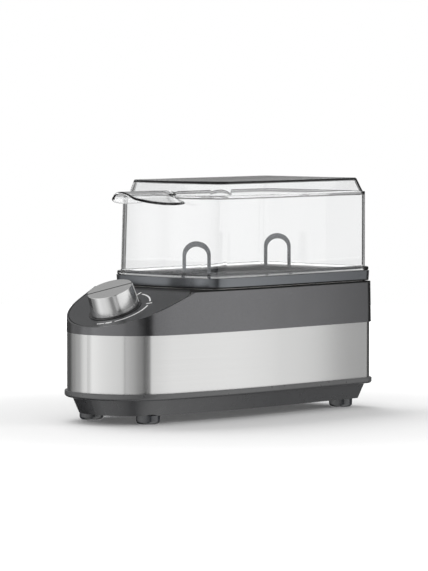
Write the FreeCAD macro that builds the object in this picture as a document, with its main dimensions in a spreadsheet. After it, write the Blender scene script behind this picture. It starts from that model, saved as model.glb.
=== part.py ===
import FreeCAD, Part
import math
import os

import Sketcher
from FreeCAD import Placement, Rotation, Vector

# A small countertop steam boiler. Millimetres, +Z up. The origin is on the floor under the middle of
# the body, the nose with the control knob points to -X and the cooking end to +X.

doc = FreeCAD.newDocument("CountertopBoiler")

# Driving dimensions. An inset or overhang is measured square to the plan outline of the steel band.
SIZES = {
    # plan outline of the body, at the steel band
    "body_length": 209.7,
    "body_width": 92.2,
    "nose_radius_share": 0.4686,
    "shoulder_radius_share": 0.4219,
    "flank_fall_share": 0.06465,
    "straight_side": 88.7,
    "rear_corner_radius": 8.2,
    "least_corner_radius": 1.5,
    # plan outline of the cooking end: bowl, tray and lid
    "tank_setback": 59.25,
    "tank_front_radius": 150.0,
    "tank_corner_radius": 16.0,
    # base tray
    "foot_height": 5.3,
    "skirt_height": 9.5,
    "skirt_inset_low": 7.0,
    "skirt_inset_top": 3.0,
    "base_wall": 2.2,
    "base_flange_height": 3.8,
    "base_flange_overhang": 1.45,
    "base_flange_round": 1.6,
    "lip_depth": 0.8,
    "lip_clearance": 0.15,
    "rib_height": 8.0,
    "rib_wall": 2.2,
    "slip_clearance": 0.3,
    # steel band
    "band_height": 35.2,
    "band_thickness": 0.6,
    # upper housing
    "housing_height": 25.0,
    "housing_overhang_low": 1.0,
    "housing_overhang_top": 0.6,
    "housing_setback": 1.4,
    "housing_wall": 2.2,
    "deck_thickness": 2.2,
    "spigot_depth": 6.0,
    "spigot_land": 2.0,
    "opening_inset": 6.2,
    # sloping control panel
    "panel_tilt": 22.3,
    "nose_wall_height": 4.2,
    "facia_thickness": 2.2,
    "facia_length": 58.35,
    "facia_rim": 0.7,
    "facia_gap": 0.45,
    "facia_corner_radius": 20.0,
    "knob_setback": 24.25,
    "control_well_radius": 17.2,
    # knob
    "knob_height": 12.7,
    "knob_base_radius": 14.6,
    "knob_top_radius": 13.7,
    "knob_wall": 0.9,
    "knob_round": 0.5,
    "knob_lift": 0.5,
    "knob_pointer_angle": 47.5,
    "pointer_width": 0.9,
    "pointer_proud": 0.15,
    "insert_gap": 0.1,
    "insert_web": 3.0,
    "insert_hub_radius": 6.0,
    "insert_hub_drop": 8.0,
    "ring_radius": 16.2,
    "ring_inner_radius": 12.6,
    "ring_height": 0.35,
    # rotary control under the knob
    "shaft_radius": 3.0,
    "shaft_rise": 9.8,
    "shaft_flat": 1.0,
    "shaft_sink": 11.0,
    "bush_radius": 4.6,
    "bush_rise": 4.0,
    "running_clearance": 0.05,
    "nut_across_flats": 12.0,
    "nut_height": 2.2,
    "control_length": 24.0,
    "control_width": 22.0,
    "control_depth": 13.0,
    "tag_width": 4.8,
    "tag_thickness": 0.8,
    "tag_length": 6.5,
    # dial marks round the knob
    "mark_radius": 21.3,
    "mark_width": 0.7,
    "mark_height": 0.12,
    "tick_length": 3.6,
    # heating bowl and what hangs under it
    "bowl_flange_inset": 4.2,
    "bowl_sheet": 0.7,
    "bowl_depth": 14.5,
    "bowl_draft": 3.0,
    "bowl_clearance": 0.6,
    "gasket_inset": 4.6,
    "gasket_height": 1.2,
    "gasket_clearance": 0.15,
    "spreader_length": 104.0,
    "spreader_width": 52.0,
    "spreader_thickness": 2.5,
    "element_radius": 3.2,
    "element_half_pitch": 16.0,
    "element_run": 78.0,
    "cold_end_length": 10.0,
    "cold_end_radius": 2.2,
    "strap_width": 8.0,
    "strap_sheet": 1.0,
    "strap_pitch": 56.0,
    "screw_radius": 1.5,
    "screw_head_radius": 2.8,
    "screw_head_height": 1.9,
    "thread_clearance": 0.04,
    "hole_clearance": 0.2,
    "thermostat_radius": 8.0,
    "thermostat_height": 6.0,
    "fuse_radius": 1.7,
    "fuse_length": 13.0,
    "fuse_clip_width": 6.4,
    "fuse_clip_height": 5.0,
    # seat tray
    "tray_rim_height": 5.9,
    "tray_rim_inset": 0.2,
    "tray_rim_draft": 0.4,
    "tray_rim_width": 4.0,
    "tray_floor": 2.0,
    "tray_skirt_depth": 3.0,
    "tray_skirt_wall": 1.6,
    "seat_pitch": 46.0,
    "seat_shift": 1.0,
    "seat_top_radius": 16.4,
    "seat_low_radius": 12.4,
    "seat_drop": 9.0,
    "seat_wall": 1.6,
    "hoop_radius": 8.2,
    "hoop_height": 26.0,
    "hoop_leg": 2.0,
    "hoop_crown": 3.2,
    "hoop_depth": 3.2,
    "hoop_reach": 24.6,
    "hoop_turn": 34.0,
    # lid
    "lid_flange_height": 2.6,
    "lid_flange_inset": 0.6,
    "lid_wall_inset": 2.9,
    "lid_wall_height": 46.4,
    "lid_front_lean": 2.1,
    "lid_front_ledge": 3.8,
    "lid_ledge": 1.4,
    "lid_shoulder_height": 8.4,
    "lid_shoulder_run": 3.0,
    "lid_top_corner_radius": 11.0,
    "lid_crown_height": 0.5,
    "lid_crown_run": 18.0,
    "lid_sheet": 1.8,
    "lid_skirt_depth": 3.0,
    "lid_skirt_wall": 1.4,
    # lip on the lid's front: a ridge with two sloping wings
    "lip_crest_rise": 2.8,
    "lip_crest_radius": 12.0,
    "lip_crest_angle": 35.0,
    "lip_wing_fall": 7.1,
    "lip_sheet": 1.5,
    "lip_half_width": 19.5,
    "lip_reach": 28.3,
    "lip_lead": 3.0,
    "lip_root_depth": 12.6,
    # feet and the screws that close the housing
    "foot_radius": 7.2,
    "foot_round": 2.2,
    "foot_stem_radius": 2.6,
    "foot_stem_rise": 4.0,
    "foot_barb": 0.5,
    "foot_fit": 0.1,
    "front_foot_setback": 27.85,
    "front_foot_inset": 23.1,
    "rear_foot_setback": 14.65,
    "rear_foot_inset": 15.3,
    "front_post_setback": 46.85,
    "front_post_inset": 19.1,
    "rear_post_setback": 32.85,
    "rear_post_inset": 12.6,
    "post_radius": 4.0,
    "post_meet_height": 30.0,
    "rear_post_top": 58.0,
    "post_screw_length": 30.0,
    "bore_floor": 10.0,
    # control board on the base floor
    "board_setback": 12.85,
    "board_length": 50.0,
    "board_width": 42.0,
    "board_thickness": 1.6,
    "board_height": 15.0,
    "board_corner": 4.0,
    "standoff_radius": 3.0,
    "board_screw_length": 7.0,
    "relay_length": 19.0,
    "relay_width": 15.5,
    "relay_height": 15.0,
    "buzzer_radius": 6.0,
    "buzzer_height": 8.5,
    "capacitor_radius": 4.0,
    "capacitor_height": 12.0,
    "terminal_length": 10.0,
    "terminal_pitch": 6.0,
    "terminal_height": 10.0,
    # cord entry and inner leads
    "gland_height": 36.0,
    "gland_bore": 3.4,
    "gland_radius": 5.6,
    "gland_flange_radius": 7.6,
    "gland_flange": 1.4,
    "gland_length": 9.0,
    "lead_radius": 1.2,
    "lead_pitch": 5.0,
    "lead_gather_share": 0.55,
    "lead_bend": 9.0,
    "clip_height": 4.4,
    "clip_width": 1.6,
    "clip_depth": 6.0,
    # one overrun serves every cut that passes a face
    "overrun": 1.0,
}

sheet = doc.addObject("Spreadsheet::Sheet", "Sizes")
for row, (name, number) in enumerate(SIZES.items(), start=1):
    sheet.set(f"A{row}", name)
    sheet.set(f"B{row}", str(number))
    sheet.setAlias(f"B{row}", name)
doc.recompute()


class Size:
    """A dimension that carries its number and the spreadsheet formula behind it."""

    def __init__(self, value, text):
        self.value = float(value)
        self.text = text

    def __add__(self, other):
        other = as_size(other)
        return Size(self.value + other.value, f"({self.text} + {other.text})")

    def __sub__(self, other):
        other = as_size(other)
        return Size(self.value - other.value, f"({self.text} - {other.text})")

    def __mul__(self, other):
        other = as_size(other)
        return Size(self.value * other.value, f"({self.text} * {other.text})")

    def __truediv__(self, other):
        other = as_size(other)
        return Size(self.value / other.value, f"({self.text} / {other.text})")

    def __rmul__(self, other):
        return as_size(other) * self

    def __neg__(self):
        return Size(-self.value, f"(-1 * {self.text})")


def as_size(item):
    """Take a Size as it is, and a bare count or share as a Size without a cell."""
    if isinstance(item, Size):
        return item
    return Size(item, repr(float(item)))


def sine(angle):
    return Size(math.sin(math.radians(angle.value)), f"sin({angle.text} * 1 deg)")


def cosine(angle):
    return Size(math.cos(math.radians(angle.value)), f"cos({angle.text} * 1 deg)")


def tangent(angle):
    return Size(math.tan(math.radians(angle.value)), f"tan({angle.text} * 1 deg)")


class Sizes:
    """Each driving dimension by its name in the spreadsheet."""

    def __getattr__(self, name):
        return Size(sheet.get(name), f"Sizes.{name}")


s = Sizes()
ZERO = as_size(0)

# Levels above the floor
base_low = s.foot_height
flange_low = base_low + s.skirt_height
flange_top = flange_low + s.base_flange_height
band_low = flange_top - s.lip_depth
band_top = band_low + s.band_height
deck_top = band_top + s.housing_height
tray_low = deck_top + s.bowl_sheet
tray_top = tray_low + s.tray_rim_height
lid_flange_top = tray_top + s.lid_flange_height
ledge_height = tray_top + s.lid_wall_height + s.lid_flange_height
shoulder_top = ledge_height + s.lid_shoulder_height
base_floor = base_low + s.base_wall
bowl_low = deck_top - s.bowl_depth
spreader_low = bowl_low - s.spreader_thickness

# Stations along the body
nose_x = -(s.body_length / 2)
rear_x = s.body_length / 2
half_width = s.body_width / 2
tank_front = nose_x + s.tank_setback
facia_end = nose_x + s.facia_length
knob_x = nose_x + s.knob_setback
board_front = nose_x + s.board_setback
seat_centre = (tank_front + rear_x) / 2 - s.seat_shift

# Curves of the body's plan. The flank arc falls away from the straight side, as far as the flank
# fall at the station of the nose arc's centre.
nose_radius = s.nose_radius_share * s.body_width
shoulder_radius = s.shoulder_radius_share * s.body_width
flank_fall = s.flank_fall_share * s.body_width
flank_run = s.body_length - s.straight_side - nose_radius
flank_radius = (flank_run * flank_run / flank_fall + flank_fall) / 2


def bind(item, path, size):
    item.setExpression(path, as_size(size).text)


def panel_height(x):
    """Height of the sloping panel's face above the floor at station x."""
    return band_top + s.nose_wall_height + tangent(s.panel_tilt) * (x - nose_x)


# Sketches

def new_body(name):
    body = doc.addObject("PartDesign::Body", name)
    return body


def new_sketch(body, role, lift=ZERO):
    """A sketch on one of the body's own origin planes, lifted along the plane's normal."""
    sketch = body.newObject("Sketcher::SketchObject", f"{body.Name}_sketch")
    plane = [item for item in body.Origin.OriginFeatures if item.Role == role][0]
    sketch.AttachmentSupport = (plane, [""])
    sketch.MapMode = "FlatFace"
    bind(sketch, "AttachmentOffset.Base.z", lift)
    return sketch


def fix(sketch, kind, *parts, size):
    """Add one dimension and tie it to the spreadsheet."""
    index = sketch.addConstraint(Sketcher.Constraint(kind, *parts, size.value))
    sketch.setExpression(f"Constraints[{index}]", size.text)


def fix_point(sketch, geometry, position, x, y):
    fix(sketch, "DistanceX", -1, 1, geometry, position, size=x)
    fix(sketch, "DistanceY", -1, 1, geometry, position, size=y)


def polygon(sketch, points):
    """A closed outline of straight lines with every corner dimensioned from the origin."""
    corners = [(as_size(x), as_size(y)) for x, y in points]
    first = sketch.GeometryCount
    count = len(corners)
    for start, end in zip(corners, corners[1:] + corners[:1]):
        line = Part.LineSegment(Vector(start[0].value, start[1].value), Vector(end[0].value, end[1].value))
        sketch.addGeometry(line)
    for index in range(count):
        following = first + (index + 1) % count
        sketch.addConstraint(Sketcher.Constraint("Coincident", first + index, 2, following, 1))
    for index, (x, y) in enumerate(corners):
        fix_point(sketch, first + index, 1, x, y)


def rectangle(sketch, low_x, high_x, low_y, high_y):
    polygon(sketch, [(low_x, low_y), (high_x, low_y), (high_x, high_y), (low_x, high_y)])


def circle(sketch, x, y, radius):
    x, y = as_size(x), as_size(y)
    index = sketch.addGeometry(Part.Circle(Vector(x.value, y.value), Vector(0, 0, 1), radius.value))
    fix_point(sketch, index, 3, x, y)
    fix(sketch, "Radius", index, size=radius)


def arc(centre, radius, start, end):
    circle_of_arc = Part.Circle(Vector(centre[0], centre[1]), Vector(0, 0, 1), radius)
    return Part.ArcOfCircle(circle_of_arc, start, end)


class Plan:
    """The ends of a plan outline: a wide arc and two tighter ones in front, two corners at the rear."""

    def __init__(self, station, radius, corner_radius, rear_radius):
        self.station = station
        self.radius = radius
        self.corner_radius = corner_radius
        self.rear_radius = rear_radius


def nose_plan(station):
    return Plan(station, nose_radius, shoulder_radius, s.rear_corner_radius)


def tank_plan(setback, rear_radius):
    return Plan(tank_front + setback, s.tank_front_radius, s.tank_corner_radius, rear_radius)


NOSE = nose_plan(nose_x)
HOUSING = nose_plan(nose_x + s.housing_setback)
TANK = tank_plan(ZERO, s.rear_corner_radius)
LID_LEDGE = tank_plan(s.lid_front_lean, s.rear_corner_radius)
LID_SHOULDER = tank_plan(s.lid_front_lean + s.lid_front_ledge, s.rear_corner_radius)
LID_TOP = tank_plan(s.lid_front_lean + s.lid_front_ledge, s.lid_top_corner_radius)


def least_radius(radius):
    """A deep inset keeps the least corner radius."""
    if radius.value < s.least_corner_radius.value:
        return s.least_corner_radius
    return radius


def plan_outline(sketch, plan, offset):
    """The boat-shaped plan: front arc, corner arcs, flank arcs, straight sides and square rear.

    An outline that is grown or shrunk by offset keeps the arc centres until a corner would vanish."""
    offset = as_size(offset)
    flank_x = rear_x - s.straight_side
    rear_size = least_radius(plan.rear_radius + offset)
    corner_size = least_radius(plan.corner_radius + offset)
    flank_size = flank_radius + offset
    front_size = plan.radius + offset
    flank = (flank_x.value, flank_radius.value - half_width.value)
    nose = (plan.station.value + plan.radius.value, 0.0)

    # The corner arc touches the front arc and the flank arc from inside, on the -Y side.
    to_flank = flank_size.value - corner_size.value
    to_nose = front_size.value - corner_size.value
    span = math.hypot(flank[0] - nose[0], flank[1] - nose[1])
    along = (to_flank ** 2 - to_nose ** 2 + span ** 2) / (2 * span)
    across = math.sqrt(to_flank ** 2 - along ** 2)
    ux, uy = (nose[0] - flank[0]) / span, (nose[1] - flank[1]) / span
    choices = [
        (flank[0] + along * ux - side * across * uy, flank[1] + along * uy + side * across * ux)
        for side in (1, -1)
    ]
    corner = min((choice for choice in choices if choice[1] < 0), key=lambda choice: choice[0])
    at_flank = math.atan2(corner[1] - flank[1], corner[0] - flank[0])
    at_nose = math.atan2(corner[1] - nose[1], corner[0] - nose[0])

    side_y = half_width.value + offset.value
    rear_edge = rear_x.value + offset.value
    rear_radius = rear_size.value
    rear_centre_x = rear_edge - rear_radius
    rear_centre_y = side_y - rear_radius
    quarter = math.pi / 2
    edges = [
        Part.LineSegment(Vector(rear_edge, -rear_centre_y), Vector(rear_edge, rear_centre_y)),
        arc((rear_centre_x, rear_centre_y), rear_radius, 0, quarter),
        Part.LineSegment(Vector(rear_centre_x, side_y), Vector(flank[0], side_y)),
        arc((flank[0], -flank[1]), flank_size.value, quarter, -at_flank),
        arc((corner[0], -corner[1]), corner_size.value, -at_flank, -at_nose),
        arc(nose, front_size.value, -at_nose, 2 * math.pi + at_nose),
        arc(corner, corner_size.value, at_nose, at_flank),
        arc(flank, flank_size.value, at_flank, -quarter),
        Part.LineSegment(Vector(flank[0], -side_y), Vector(rear_centre_x, -side_y)),
        arc((rear_centre_x, -rear_centre_y), rear_radius, -quarter, 0),
    ]
    first = sketch.GeometryCount
    sketch.addGeometry(edges)
    count = len(edges)
    for index in range(count):
        following = first + (index + 1) % count
        sketch.addConstraint(Sketcher.Constraint("Tangent", first + index, 2, following, 1))
    rear, rear_left, left, flank_left, corner_left, nose_arc = range(first, first + 6)
    corner_right, flank_right, right, rear_right = range(first + 6, first + 10)
    sketch.addConstraint(Sketcher.Constraint("Vertical", rear))
    fix(sketch, "DistanceX", -1, 1, rear, 1, size=rear_x + offset)
    for line, direction in ((left, 1), (right, -1)):
        sketch.addConstraint(Sketcher.Constraint("Horizontal", line))
        fix(sketch, "DistanceY", -1, 1, line, 1, size=direction * (half_width + offset))
    for index in (rear_left, rear_right):
        fix(sketch, "Radius", index, size=rear_size)
    for index in (flank_left, flank_right):
        fix(sketch, "Radius", index, size=flank_size)
        fix(sketch, "DistanceX", -1, 1, index, 3, size=flank_x)
    for index in (corner_left, corner_right):
        fix(sketch, "Radius", index, size=corner_size)
    fix(sketch, "Radius", nose_arc, size=front_size)
    fix(sketch, "DistanceX", -1, 1, nose_arc, 3, size=plan.station + plan.radius)
    sketch.addConstraint(Sketcher.Constraint("PointOnObject", nose_arc, 3, -1))


# Solids

def add_pad(body, sketch, length, symmetric=False):
    pad = body.newObject("PartDesign::Pad", f"{body.Name}_pad")
    pad.Profile = sketch
    bind(pad, "Length", length)
    if symmetric:
        pad.SideType = "Symmetric"
    return pad


def add_fillet(body, feature, radius, chosen):
    """Round the edges of a body's last feature for which chosen(edge) holds."""
    doc.recompute()
    names = [f"Edge{index}" for index, edge in enumerate(feature.Shape.Edges, start=1) if chosen(edge)]
    fillet = body.newObject("PartDesign::Fillet", f"{body.Name}_fillet")
    fillet.Base = (feature, names)
    bind(fillet, "Radius", radius)
    return fillet


def at_height(height):
    """Chooses the edges that lie level at one height."""
    def chosen(edge):
        box = edge.BoundBox
        return math.isclose(box.ZMin, height.value, abs_tol=1e-4) and box.ZLength < 1e-4
    return chosen


def prism(name, plan, offset, low, high):
    """The plan outline, grown by offset, from one level up to another."""
    body = new_body(name)
    sketch = new_sketch(body, "XY_Plane", low)
    plan_outline(sketch, plan, offset)
    add_pad(body, sketch, high - low)
    return body


def frustum(name, plan, low_offset, low, high_offset, high, high_plan=None):
    """A plan outline with one offset at the lower level and another at the upper level."""
    body = new_body(name)
    lower = new_sketch(body, "XY_Plane", low)
    plan_outline(lower, plan, low_offset)
    upper = new_sketch(body, "XY_Plane", high)
    plan_outline(upper, high_plan or plan, high_offset)
    loft = body.newObject("PartDesign::AdditiveLoft", f"{name}_loft")
    loft.Profile = lower
    loft.Sections = [upper]
    loft.Ruled = True
    return body


def side_view_block(name, points, width):
    """A block whose side view is a polygon in X and Z, symmetric about the middle plane."""
    body = new_body(name)
    sketch = new_sketch(body, "XZ_Plane")
    polygon(sketch, points)
    add_pad(body, sketch, width, symmetric=True)
    return body


def turned(name, points):
    """A solid turned about its own Z axis from a half profile in X and Z."""
    body = new_body(name)
    sketch = new_sketch(body, "XZ_Plane")
    polygon(sketch, points)
    turn = body.newObject("PartDesign::Revolution", f"{name}_turn")
    turn.Profile = sketch
    turn.ReferenceAxis = (sketch, ["V_Axis"])
    turn.Angle = 360
    return body


def box(name, low, length, width, height):
    item = doc.addObject("Part::Box", name)
    bind(item, "Length", length)
    bind(item, "Width", width)
    bind(item, "Height", height)
    return place(item, *low)


def centred_box(name, centre, length, width, height):
    """A box centred in plan on a point, standing on that point's level."""
    x, y, z = centre
    return box(name, (as_size(x) - length / 2, as_size(y) - width / 2, z), length, width, height)


def cylinder(name, radius, height, low):
    item = doc.addObject("Part::Cylinder", name)
    bind(item, "Radius", radius)
    bind(item, "Height", height)
    return place(item, *low)


def cone(name, low_radius, high_radius, height, low):
    item = doc.addObject("Part::Cone", name)
    bind(item, "Radius1", low_radius)
    bind(item, "Radius2", high_radius)
    bind(item, "Height", height)
    return place(item, *low)


def place(item, x, y, z):
    bind(item, "Placement.Base.x", x)
    bind(item, "Placement.Base.y", y)
    bind(item, "Placement.Base.z", z)
    return item


def turn(item, axis, angle):
    item.Placement = Placement(Vector(0, 0, 0), Rotation(axis, 1))
    bind(item, "Placement.Rotation.Angle", angle)
    return item


def fuse(name, *items):
    result = doc.addObject("Part::MultiFuse", name)
    result.Shapes = list(items)
    result.Refine = True
    return result


def cut(name, base, *tools):
    result = doc.addObject("Part::Cut", name)
    result.Base = base
    result.Tool = tools[0] if len(tools) == 1 else fuse(f"{name}_tools", *tools)
    result.Refine = True
    return result


def common(name, *items):
    result = doc.addObject("Part::MultiCommon", name)
    result.Shapes = list(items)
    result.Refine = True
    return result


def group(name, *items):
    """Separate solids of one kind, kept together as one piece."""
    result = doc.addObject("Part::Compound", name)
    result.Links = list(items)
    return result


def on_panel(item, lift=ZERO):
    """Stand a piece that was built about the Z axis on the sloping panel, on the knob's axis."""
    turn(item, Vector(0, 1, 0), -s.panel_tilt)
    x = knob_x
    return place(item, x - lift * sine(s.panel_tilt), ZERO, panel_height(x) + lift * cosine(s.panel_tilt))


def mirrored_pairs(station, offset):
    return [(station, offset), (station, -offset)]


X_AXIS, Y_AXIS, Z_AXIS = Vector(1, 0, 0), Vector(0, 1, 0), Vector(0, 0, 1)
FEET = mirrored_pairs(nose_x + s.front_foot_setback, half_width - s.front_foot_inset)
FEET += mirrored_pairs(rear_x - s.rear_foot_setback, half_width - s.rear_foot_inset)
FRONT_POSTS = mirrored_pairs(nose_x + s.front_post_setback, half_width - s.front_post_inset)
REAR_POSTS = mirrored_pairs(rear_x - s.rear_post_setback, half_width - s.rear_post_inset)
POSTS = FRONT_POSTS + REAR_POSTS


# Base tray: a shallow moulded boat with an outward flange that carries the steel band.

def make_base_tray():
    skirt = frustum("base_skirt", NOSE, -s.skirt_inset_low, base_low, -s.skirt_inset_top, flange_low)
    flange = prism("base_flange", NOSE, s.base_flange_overhang, flange_low, flange_top)
    low_edge = add_fillet(flange, flange.Tip, s.base_flange_round, at_height(flange_low))
    add_fillet(flange, low_edge, s.lip_depth / 2, at_height(flange_top))
    channel = prism("base_channel", NOSE, s.lip_clearance, band_low, flange_top + s.overrun)
    rib_offset = -(s.band_thickness + s.slip_clearance)
    rib = prism("base_rib", NOSE, rib_offset, flange_low, flange_top + s.rib_height)
    outer = fuse("base_outer", cut("base_rim", fuse("base_block", skirt, flange), channel), rib)
    low_core = frustum(
        "base_low_core", NOSE, -(s.skirt_inset_low + s.base_wall), base_floor,
        -(s.skirt_inset_top + s.base_wall), flange_low,
    )
    ledge = flange_low + s.base_wall
    middle_core = prism("base_middle_core", NOSE, -(s.skirt_inset_top + s.base_wall), flange_low, ledge)
    high_core = prism(
        "base_high_core", NOSE, rib_offset - s.rib_wall, ledge, flange_top + s.rib_height + s.overrun,
    )
    shell = cut("base_shell", outer, fuse("base_core", low_core, middle_core, high_core))
    solids = [shell]
    holes = []
    head_seat = base_low + s.screw_head_height + s.slip_clearance
    for index, (x, y) in enumerate(POSTS):
        sunk = base_floor - s.base_wall / 2
        post = cylinder(f"base_post_{index}", s.post_radius, s.post_meet_height - sunk, (x, y, sunk))
        solids.append(post)
        low = base_low - s.overrun
        through = s.screw_radius + s.hole_clearance
        rise = s.post_meet_height + s.overrun - low
        holes.append(cylinder(f"base_post_bore_{index}", through, rise, (x, y, low)))
        head = s.screw_head_radius + s.hole_clearance
        holes.append(cylinder(f"base_post_sink_{index}", head, head_seat - low, (x, y, low)))
    for index, (x, y) in enumerate(FEET):
        radius = s.foot_stem_radius + s.foot_fit
        depth = s.base_wall + 2 * s.overrun
        holes.append(cylinder(f"base_foot_hole_{index}", radius, depth, (x, y, base_low - s.overrun)))
    for index, (x, y) in enumerate(board_holes()):
        sunk = base_floor - s.base_wall / 2
        rise = board_low - sunk
        solids.append(cylinder(f"base_standoff_{index}", s.standoff_radius, rise, (x, y, sunk)))
        bore = s.screw_radius + s.thread_clearance
        depth = s.board_screw_length
        holes.append(cylinder(f"base_standoff_bore_{index}", bore, depth, (x, y, board_low - depth)))
    for index, x in enumerate(clip_stations()):
        solids.append(lead_clip(f"base_clip_{index}", x))
    return cut("base_tray", fuse("base_filled", *solids), *holes)


# The leads lie on the base floor, each between two cheeks of a clip.

def lead_offsets():
    return [-s.lead_pitch, ZERO, s.lead_pitch]


def clip_stations():
    return [-s.seat_pitch / 4, s.seat_pitch / 2, s.seat_pitch + s.seat_pitch / 2]


def lead_clip(name, x):
    """A comb on the base floor with one slot for each lead."""
    width = 2 * s.lead_pitch + 2 * (s.lead_radius + s.slip_clearance + s.clip_width)
    sunk = base_floor - s.base_wall / 2
    block = centred_box(f"{name}_block", (x, ZERO, sunk), s.clip_depth, width, s.clip_height)
    slots = []
    for index, y in enumerate(lead_offsets()):
        slot_width = 2 * (s.lead_radius + s.slip_clearance / 2)
        depth = s.clip_depth + 2 * s.overrun
        slot_name = f"{name}_slot_{index}"
        slots.append(centred_box(slot_name, (x, y, base_floor), depth, slot_width, s.clip_height))
    return cut(name, block, *slots)


# Rubber feet: a round puck with a barbed stem pressed into the base floor.

def make_foot(name, x, y):
    barb_low = base_floor + s.foot_fit
    stem = s.foot_stem_radius
    foot = turned(name, [
        (ZERO, ZERO),
        (s.foot_radius, ZERO),
        (s.foot_radius, base_low),
        (stem, base_low),
        (stem, barb_low),
        (stem + s.foot_barb, barb_low),
        (stem, base_low + s.foot_stem_rise),
        (ZERO, base_low + s.foot_stem_rise),
    ])
    add_fillet(foot, foot.Tip, s.foot_round, at_height(ZERO))
    return place(foot, x, y, ZERO)


# A pan-head screw with its head below and its shank rising from the point given.

def screw(name, x, y, seat, length):
    head_low = seat - s.screw_head_height
    head = cylinder(f"{name}_head", s.screw_head_radius, s.screw_head_height, (x, y, head_low))
    shank = cylinder(f"{name}_shank", s.screw_radius, length, (x, y, seat))
    drive = centred_box(
        f"{name}_drive", (x, y, head_low - s.overrun),
        s.screw_head_radius, s.screw_radius / 2, s.overrun + s.screw_head_height / 2,
    )
    return cut(name, fuse(f"{name}_solid", head, shank), drive)


def make_base_screws():
    seat = base_low + s.screw_head_height + s.slip_clearance
    screws = []
    for index, (x, y) in enumerate(POSTS):
        screws.append(screw(f"base_screw_{index}", x, y, seat, s.post_screw_length))
    return group("base_screws", *screws)


# Steel band: a thin brushed wrap round the body, open above and below.

def make_steel_band():
    outer = prism("band_outer", NOSE, ZERO, band_low, band_top)
    inner = prism("band_inner", NOSE, -s.band_thickness, band_low - s.overrun, band_top + s.overrun)
    return cut("steel_band", outer, inner, gland_hole("band_hole"))


def gland_hole(name):
    """The round cord hole through the rear of the band."""
    depth = s.band_thickness + 2 * s.overrun
    hole = cylinder(name, s.gland_radius + s.foot_fit, depth, (ZERO, ZERO, ZERO))
    turn(hole, Y_AXIS, as_size(90))
    return place(hole, rear_x - s.band_thickness - s.overrun, ZERO, s.gland_height)


# Cord gland: a flanged bush snapped into the rear of the band. The cord itself is not part of this.

def make_cord_gland():
    inner_face = s.band_thickness + s.foot_fit
    bush = turned("gland_bush", [
        (s.gland_bore, -s.gland_length),
        (s.gland_radius, -s.gland_length),
        (s.gland_radius + s.foot_barb, -inner_face - s.gland_flange),
        (s.gland_radius + s.foot_barb, -inner_face),
        (s.gland_radius, -inner_face),
        (s.gland_radius, ZERO),
        (s.gland_flange_radius, ZERO),
        (s.gland_flange_radius - s.foot_barb, s.gland_flange),
        (s.gland_bore, s.gland_flange),
    ])
    gland = group("cord_gland", bush)
    turn(gland, Y_AXIS, as_size(90))
    return place(gland, rear_x, ZERO, s.gland_height)


# Upper housing: a drafted shell with a sloping front, closed by the facia there.

facia_drop = s.facia_thickness / cosine(s.panel_tilt)
deck_drop = s.deck_thickness / cosine(s.panel_tilt)


def slope_station(height, drop):
    """Where the panel's slope, lowered by drop, reaches a height."""
    return nose_x + (height + drop - band_top - s.nose_wall_height) / tangent(s.panel_tilt)


def above_panel(name, drop, level, end):
    """Everything above the panel's slope, lowered by drop, and above a level behind it, back to the end."""
    start = nose_x - s.housing_overhang_low - s.overrun
    ceiling = deck_top + s.overrun
    return side_view_block(name, [
        (start, panel_height(start) - drop),
        (slope_station(level, drop), level),
        (end, level),
        (end, ceiling),
        (start, ceiling),
    ], s.body_width + 2 * s.housing_overhang_low + 2 * s.overrun)


def facia_outline(name, gap):
    """The facia's plan as a tall block: inside the housing's rim less a gap, with rounded rear corners."""
    ceiling = deck_top + s.overrun
    offset = s.housing_overhang_top - s.facia_rim - gap
    inside = prism(f"{name}_inside", HOUSING, offset, band_top, ceiling)
    body = new_body(f"{name}_end")
    sketch = new_sketch(body, "XY_Plane", band_top)
    half = half_width_at(facia_end - s.facia_corner_radius / 2) - gap
    end = facia_end - gap
    rectangle(sketch, nose_x - s.overrun, end, -half, half)
    block = add_pad(body, sketch, ceiling - band_top)

    def rear_corner(edge):
        box_of_edge = edge.BoundBox
        rear = math.isclose(box_of_edge.XMin, end.value, abs_tol=1e-4)
        return rear and box_of_edge.XLength < 1e-4 and box_of_edge.YLength < 1e-4

    add_fillet(body, block, s.facia_corner_radius - gap, rear_corner)
    return common(name, inside, body)


def half_width_at(x):
    """Half the body's width at a station on the flank, from the flank arc's height."""
    run = rear_x - s.straight_side - x
    return half_width - run * run / (2 * flank_radius)


def housing_block(name, inset, low, top):
    """The drafted outside of the housing, or its inside when inset is the wall."""
    slope = (s.housing_overhang_low - s.housing_overhang_top) / s.housing_height
    low_offset = s.housing_overhang_low - slope * (low - band_top) - inset
    top_offset = s.housing_overhang_low - slope * (top - band_top) - inset
    return frustum(name, HOUSING, low_offset, low, top_offset, top)


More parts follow.
